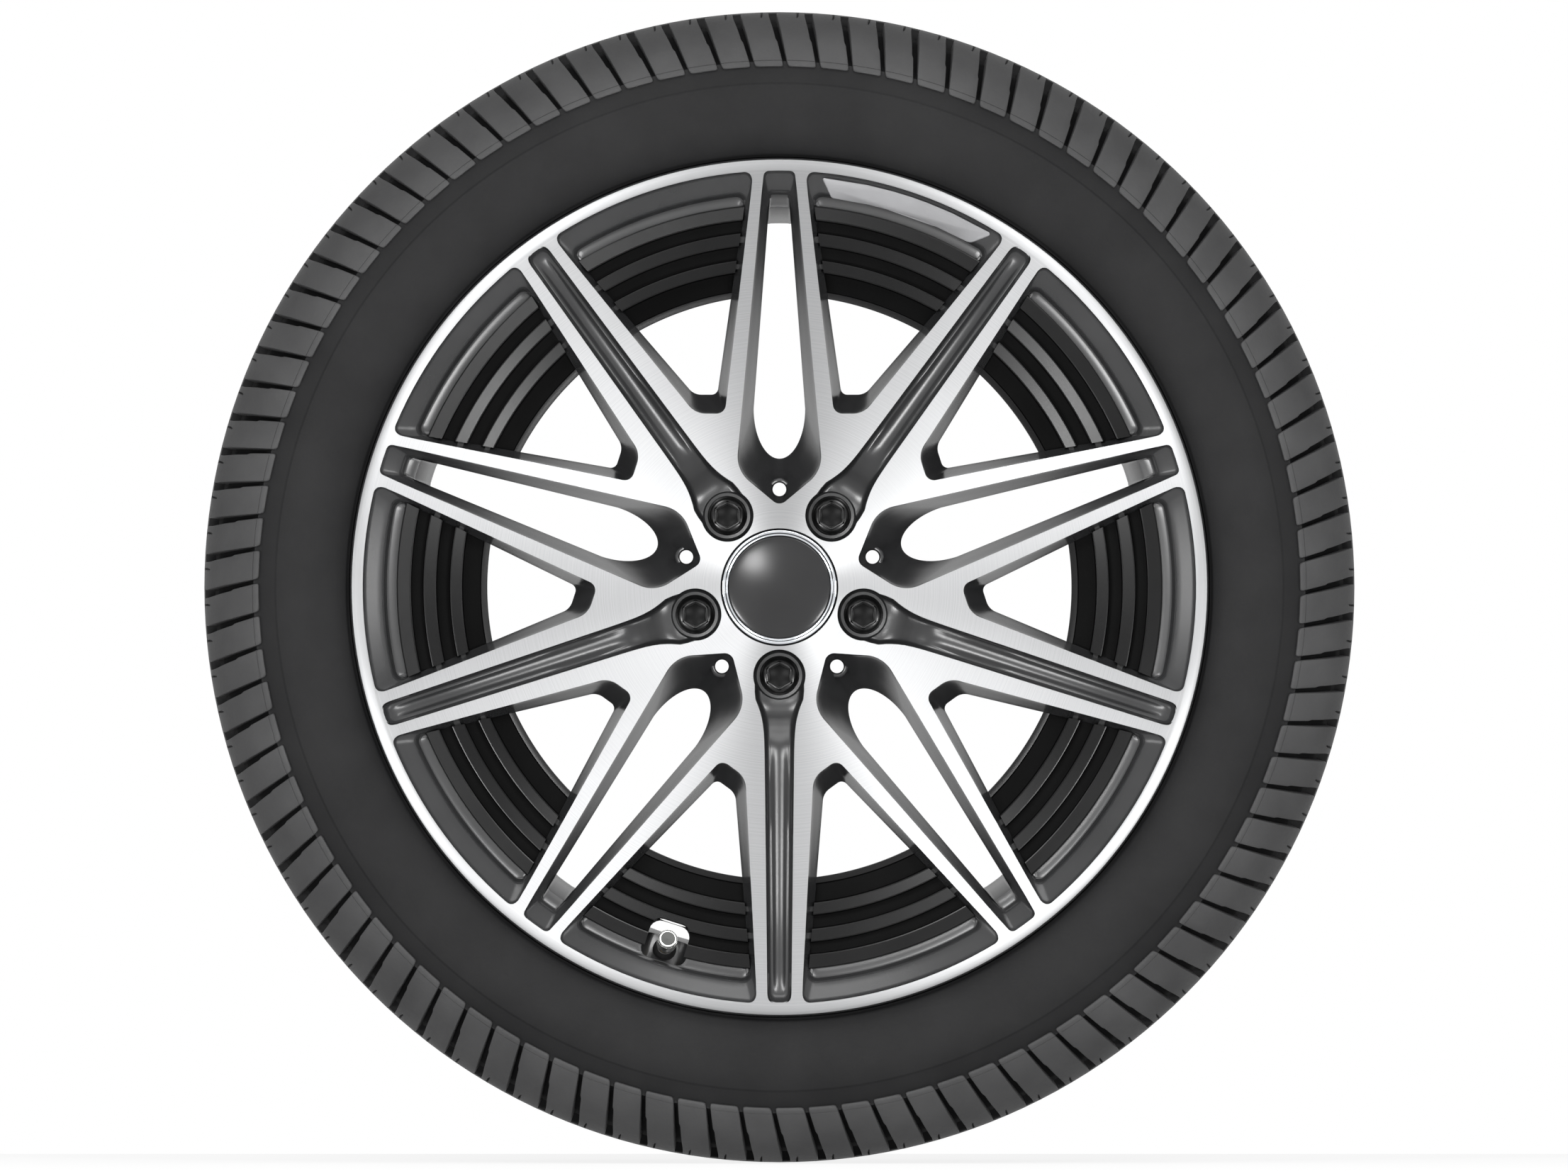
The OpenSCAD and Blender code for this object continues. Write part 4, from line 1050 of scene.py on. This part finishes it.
# %% Helpers for nodes
def start_material(name, color, metallic, roughness, **fixed):
    """A Principled shader with its fixed numbers, ready for patterns."""
    material = bpy.data.materials.get(name) or bpy.data.materials.new(name)
    material.use_nodes = True
    tree = material.node_tree
    tree.nodes.clear()
    out = tree.nodes.new("ShaderNodeOutputMaterial")
    shader = tree.nodes.new("ShaderNodeBsdfPrincipled")
    tree.links.new(shader.outputs[0], out.inputs["Surface"])
    shader.inputs["Base Color"].default_value = (*color, 1)
    shader.inputs["Metallic"].default_value = metallic
    shader.inputs["Roughness"].default_value = roughness
    for key, value in fixed.items():
        shader.inputs[key.replace("_", " ")].default_value = value
    return material, tree, shader


def add(tree, kind, **settings):
    """A new node with its settings."""
    node = tree.nodes.new(kind)
    for key, value in settings.items():
        setattr(node, key, value)
    return node


def spread(tree, value, low, high):
    """Maps a pattern's 0 to 1 onto another range."""
    node = add(tree, "ShaderNodeMapRange")
    tree.links.new(value, node.inputs["Value"])
    node.inputs["To Min"].default_value = low
    node.inputs["To Max"].default_value = high
    return node.outputs["Result"]


def noise(tree, vector, scale, detail=3.0, dimensions="3D"):
    """Noise over a position, or along one number where dimensions is 1D."""
    node = add(tree, "ShaderNodeTexNoise", noise_dimensions=dimensions)
    tree.links.new(vector, node.inputs["W" if dimensions == "1D" else "Vector"])
    node.inputs["Scale"].default_value = scale
    node.inputs["Detail"].default_value = detail
    return node.outputs["Fac"]


def tint(tree, factor, low, high):
    """Blends two colours by a pattern; noise seldom leaves 0.3 to 0.7, so the ramp spans that."""
    ramp = add(tree, "ShaderNodeValToRGB")
    tree.links.new(factor, ramp.inputs["Fac"])
    for element, position, color in zip(ramp.color_ramp.elements, (0.3, 0.7), (low, high)):
        element.position = position
        element.color = (*color, 1)
    return ramp.outputs["Color"]


def bump(tree, shader, height, strength, distance):
    """Lets a pattern lift the surface by up to a distance in metres."""
    node = add(tree, "ShaderNodeBump")
    node.inputs["Strength"].default_value = strength
    node.inputs["Distance"].default_value = distance
    tree.links.new(height, node.inputs["Height"])
    tree.links.new(node.outputs["Normal"], shader.inputs["Normal"])


def object_coordinates(tree):
    """Positions on the object itself, in metres."""
    return add(tree, "ShaderNodeTexCoord").outputs["Object"]


def radius_of(tree, vector):
    """Distance from the wheel's axis, in metres."""
    flat = add(tree, "ShaderNodeVectorMath", operation="MULTIPLY")
    flat.inputs[1].default_value = (1, 0, 1)
    length = add(tree, "ShaderNodeVectorMath", operation="LENGTH")
    tree.links.new(vector, flat.inputs[0])
    tree.links.new(flat.outputs["Vector"], length.inputs[0])
    return length.outputs["Value"]


print("slots that wait for a finish:", len([one for one in bpy.data.materials if not one.use_nodes]))

# %% Two kinds of finish
CLOUDS_PER_METRE, RINGS_CLOUDS_PER_METRE = 26, 18


def speckled(name, dark, light, roughness, grain, depth, metallic=0.0, **fixed):
    """A moulded, cast or painted surface: faint clouds of tone over a fine grain."""
    material, tree, shader = start_material(name, light, metallic, roughness, **fixed)
    where = object_coordinates(tree)
    clouds = noise(tree, where, CLOUDS_PER_METRE, 3)
    fine = noise(tree, where, grain, 2)
    tree.links.new(tint(tree, clouds, dark, light), shader.inputs["Base Color"])
    tree.links.new(spread(tree, fine, roughness * 0.88, roughness * 1.14), shader.inputs["Roughness"])
    bump(tree, shader, fine, 0.25, depth)
    return material


def turned_metal(name, dark, light, roughness, lines, **fixed):
    """Metal cut on a lathe: rings of slightly different tone, height and gloss around the axis."""
    material, tree, shader = start_material(name, light, 1.0, roughness, **fixed)
    where = object_coordinates(tree)
    rings = noise(tree, radius_of(tree, where), lines, 6, "1D")
    clouds = noise(tree, where, RINGS_CLOUDS_PER_METRE, 3)
    # The rings are shifted a little by the clouds, so that they are not perfect circles of tone
    mixed = add(tree, "ShaderNodeMath", operation="MULTIPLY_ADD")
    tree.links.new(clouds, mixed.inputs[0])
    mixed.inputs[1].default_value = 0.3
    tree.links.new(spread(tree, rings, -0.15, 0.85), mixed.inputs[2])
    tree.links.new(tint(tree, mixed.outputs[0], dark, light), shader.inputs["Base Color"])
    tree.links.new(spread(tree, rings, roughness * 0.8, roughness * 1.25), shader.inputs["Roughness"])
    bump(tree, shader, rings, 0.12, 0.00008)
    tangent = add(tree, "ShaderNodeTangent", direction_type="RADIAL", axis="Y")
    tree.links.new(tangent.outputs["Tangent"], shader.inputs["Tangent"])
    return material


print("clouds of tone about", round(1000 / CLOUDS_PER_METRE), "mm wide, on turned metal",
      round(1000 / RINGS_CLOUDS_PER_METRE), "mm")

# %% [markdown]
# The wheel is painted dark grey under clear lacquer, and its front is then turned bright on a lathe.
# The turned metal could have ring-shaped bumps alone, but rings finer than a pixel would only flicker.
# So the shader stretches its highlight across the rings, and faint rings of tone lie under it.
# Rubber is matt; its grooves are painted darker as painted shade, and its tread blocks lighter as painted
# light. The inserts are smooth black plastic, with their valleys painted near-black and dull as painted
# shade.

# %% Finishes of the wheel, tyre and inserts
# Name, its darker and its lighter colour, roughness, grain per metre, and height of the grain in metres
speckled("painted", (0.014, 0.0142, 0.0147), (0.020, 0.0202, 0.0208), 0.25, 900, 0.00002)
turned_metal("turned", (0.28, 0.282, 0.286), (0.33, 0.332, 0.336), 0.42, 1500,
             Anisotropic=0.95, Anisotropic_Rotation=0.25)
# The groove rubber is the side wall's rubber made darker and duller, which is painted shade in the grooves.
speckled("tyre_groove_painted_shade", (0.003, 0.003, 0.0031), (0.005, 0.005, 0.0052), 0.8, 600, 0.0002,
         Specular_IOR_Level=0.05)
speckled("tyre_side", (0.006, 0.006, 0.0063), (0.009, 0.009, 0.0093), 0.6, 700, 0.0002,
         Specular_IOR_Level=0.12)
# The tread blocks are the side wall's rubber made lighter, which is painted light on the shoulders.
tread_painted_light_look = speckled("tyre_tread", (0.024, 0.024, 0.0245), (0.036, 0.036, 0.0365), 0.6, 500, 0.0004,
                      Specular_IOR_Level=0.25)
speckled("insert_ribs", (0.002, 0.002, 0.0021), (0.004, 0.004, 0.0041), 0.22, 1100, 0.00001,
         Specular_IOR_Level=0.15)
# The valleys' near-black, dull finish is painted shade between the ribs.
speckled("insert_valley_painted_shade", (0.001, 0.001, 0.001), (0.002, 0.002, 0.002), 0.5, 900, 0.00005,
         Specular_IOR_Level=0.03)
# The plate is cast and painted with the wheel; its lighter, silvery finish is painted light.
plate_look_painted_light = speckled("plate_painted_light", (0.26, 0.26, 0.265), (0.34, 0.34, 0.35), 0.4, 1400, 0.00003, 0.6)
print("finishes made:", len([material for material in bpy.data.materials if material.use_nodes]))

# %% [markdown]
# The small parts differ mostly in how sharply they reflect: satin plastic, chrome, zinc, brass and steel.
# Each could be a single flat colour, but a faint cloud of tone and a fine grain make them look made.
# The grain is finer on the smaller parts, because it has to stay small beside them.

# %% Finishes of the bolts, cap and valve
speckled("black_zinc", (0.004, 0.004, 0.004), (0.006, 0.006, 0.006), 0.2, 1600, 0.00001,
         Specular_IOR_Level=0.3)
# The socket's near-black finish is painted shade in its recess.
speckled("socket_painted_shade", (0.001, 0.001, 0.001), (0.002, 0.002, 0.002), 0.35, 1600, 0.00001,
         Specular_IOR_Level=0.08)
chrome_look = speckled("chrome", (0.60, 0.62, 0.65), (0.66, 0.68, 0.71), 0.07, 1500, 0.000003, 1.0)
disc_look = speckled("cap_satin", (0.016, 0.016, 0.0164), (0.019, 0.019, 0.0194), 0.15, 1300, 0.000003,
                     Specular_IOR_Level=0.2)
clip_look = speckled("clip_moulding", (0.006, 0.006, 0.006), (0.010, 0.010, 0.010), 0.55, 900, 0.00005)
boot_look = speckled("valve_moulding", (0.006, 0.006, 0.006), (0.010, 0.010, 0.010), 0.45, 1500, 0.00003)
speckled("cap_metal", (0.55, 0.55, 0.54), (0.70, 0.70, 0.69), 0.2, 2200, 0.00001, 1.0)
speckled("cap_centre", (0.03, 0.031, 0.029), (0.045, 0.045, 0.043), 0.5, 1800, 0.00002)
brass_look = speckled("brass_turned", (0.55, 0.40, 0.16), (0.68, 0.52, 0.24), 0.28, 2400, 0.00001, 1.0)
steel_look = speckled("steel_turned", (0.42, 0.42, 0.43), (0.56, 0.56, 0.57), 0.32, 2400, 0.00001, 1.0)
seal_look = speckled("seal_moulding", (0.26, 0.02, 0.015), (0.34, 0.03, 0.025), 0.6, 1500, 0.00003)
sensor_look = speckled("sensor_moulding", (0.018, 0.018, 0.02), (0.028, 0.028, 0.03), 0.5, 900, 0.00005)
print("finishes made:", len([material for material in bpy.data.materials if material.use_nodes]))


# %% Finishes put on the parts
def dress(obj, material):
    """Puts one material into every slot, or adds a slot."""
    if not obj.material_slots:
        obj.data.materials.append(material)
    for slot_ in obj.material_slots:
        slot_.material = material


# The plate's lighter finish is painted light.
dress(plate, plate_look_painted_light)
# The tread blocks get the lighter rubber, which is painted light.
dress(front, tread_painted_light_look)
dress(back, tread_painted_light_look)
dress(ring, chrome_look)
dress(disc, disc_look)
dress(rubber, boot_look)
# These parts are hidden or tiny, so the model's own solids show, in a finish of their own
for name, material in (("cap_clip", clip_look), ("valve_stem", brass_look), ("valve_core", brass_look),
                       ("valve_core_pin", steel_look), ("valve_cap_seal", seal_look),
                       ("pressure_sensor", sensor_look), ("sensor_screw", steel_look)):
    if name in frame["nodes"]:
        dress(frame["nodes"][name], material)
print("materials:", len(bpy.data.materials))

# %% [markdown]
# A studio for a wheel is mostly white card, with large soft boxes above left and above right.
# Turned metal shows a lamp as a bright fan on the line towards it and another one opposite.
# One sun lamp would give hard fans and black paint, so two large boxes give the four soft fans here.
# Small boxes low down and at the sides lift the lower spokes and the tyre, and one lights the tread.
# The smallest box, straight in front, makes the spark on the centre cap.

# %% Soft boxes
# Name, place and size in metres, and power in watts; all of them aim at the wheel's middle
LAMPS = [("upper_left", (-0.9, -2.4, 1.35), (0.8, 0.8), 37),
         ("upper_right", (0.9, -2.4, 1.35), (0.8, 0.8), 34),
         ("lower_left", (-0.6, -1.6, -0.3), (0.5, 0.1), 12),
         ("lower_right", (0.6, -1.6, -0.3), (0.5, 0.1), 10),
         ("overhead", (0, -0.9, 2.2), (1.5, 0.7), 12),
         ("side_left", (-2.2, -0.9, -0.05), (0.5, 0.6), 7),
         ("side_right", (2.2, -0.9, -0.05), (0.5, 0.6), 7),
         ("spark", (-0.3, -3.0, 0.32), (0.22, 0.22), 9)]
WHEEL_MIDDLE = Vector((0, 0, 0))


def soft_box(name, place, size, watts):
    """A rectangular lamp that looks at the wheel's middle."""
    lamp = bpy.data.lights.new(name, "AREA")
    lamp.shape = "RECTANGLE"
    lamp.size, lamp.size_y = size
    lamp.energy = watts
    obj = bpy.data.objects.new(name, lamp)
    obj.location = place
    obj.rotation_euler = (WHEEL_MIDDLE - Vector(place)).to_track_quat("-Z", "Y").to_euler()
    bpy.context.scene.collection.objects.link(obj)


for lamp_sizes in LAMPS:
    soft_box(*lamp_sizes)
print("lamps:", len(bpy.data.lights), "with", sum(watts for *_, watts in LAMPS), "W in all")

# %% [markdown]
# The room around the wheel is white to the camera and in reflections, but lights the wheel only softly.
# A white backdrop behind the wheel could do that too, but it would stand in the way of other views.
# The light path tells the world which kind of ray asks, so one world can give both answers.

# %% Room
WHITE = (1, 1, 1, 1)
ROOM_LIGHT = 0.3


def seen_directly(tree):
    """1 for camera, glossy and transmission rays, and 0 for rays that only gather soft light."""
    rays = add(tree, "ShaderNodeLightPath")
    straight = add(tree, "ShaderNodeMath", operation="ADD")
    either = add(tree, "ShaderNodeMath", operation="ADD", use_clamp=True)
    tree.links.new(rays.outputs["Is Camera Ray"], straight.inputs[0])
    tree.links.new(rays.outputs["Is Glossy Ray"], straight.inputs[1])
    tree.links.new(straight.outputs[0], either.inputs[0])
    tree.links.new(rays.outputs["Is Transmission Ray"], either.inputs[1])
    return either.outputs[0]


def choose_shader(tree, factor, usual, direct, surface):
    """Mixes two shaders by a factor, and joins the mix to an output."""
    choose = add(tree, "ShaderNodeMixShader")
    for source, target in zip((factor, usual, direct), choose.inputs):
        tree.links.new(source, target)
    tree.links.new(choose.outputs[0], surface)


world = bpy.data.worlds.new("room")
bpy.context.scene.world = world
world.use_nodes = True
world.node_tree.nodes.clear()
out = add(world.node_tree, "ShaderNodeOutputWorld")
seen, felt = (add(world.node_tree, "ShaderNodeBackground") for _ in range(2))
for background, strength in ((seen, 1.0), (felt, ROOM_LIGHT)):
    background.inputs["Color"].default_value = WHITE
    background.inputs["Strength"].default_value = strength
choose_shader(world.node_tree, seen_directly(world.node_tree), felt.outputs[0], seen.outputs[0],
              out.inputs["Surface"])
# Colours are shown as they are computed, without a film's look
bpy.context.scene.view_settings.view_transform = "Standard"
print("the room's light on the wheel:", ROOM_LIGHT, "and as seen:", 1.0)

# %% [markdown]
# The wheel stands on a sheet of white paper, which keeps its soft shadow.
# Bright lamps could make the paper white, but they would bleach the wheel as well.
# So the paper glows a little for the camera, and only a share of it stays paper with a shadow.

# %% Floor
FLOOR_Z = -0.3647
FLOOR_GLOW = 0.85
bpy.ops.object.select_all(action="DESELECT")
bpy.ops.mesh.primitive_grid_add(x_subdivisions=8, y_subdivisions=6, size=1, location=(0, -0.75, FLOOR_Z))
floor = bpy.context.object
floor.name = floor.data.name = "floor"
floor.scale = (3.6, 2.4, 1)
floor_look = speckled("floor_paper", (0.90, 0.90, 0.90), (0.94, 0.94, 0.94), 0.8, 300, 0.00005)
dress(floor, floor_look)
tree = floor_look.node_tree
surface = next(node for node in tree.nodes if node.type == "OUTPUT_MATERIAL").inputs["Surface"]
paper = surface.links[0].from_socket
glow = add(tree, "ShaderNodeEmission")
share = add(tree, "ShaderNodeMath", operation="MULTIPLY")
share.inputs[1].default_value = FLOOR_GLOW
tree.links.new(seen_directly(tree), share.inputs[0])
choose_shader(tree, share.outputs[0], paper, glow.outputs[0], surface)
print("floor at", FLOOR_Z, "m, just under the tyre")
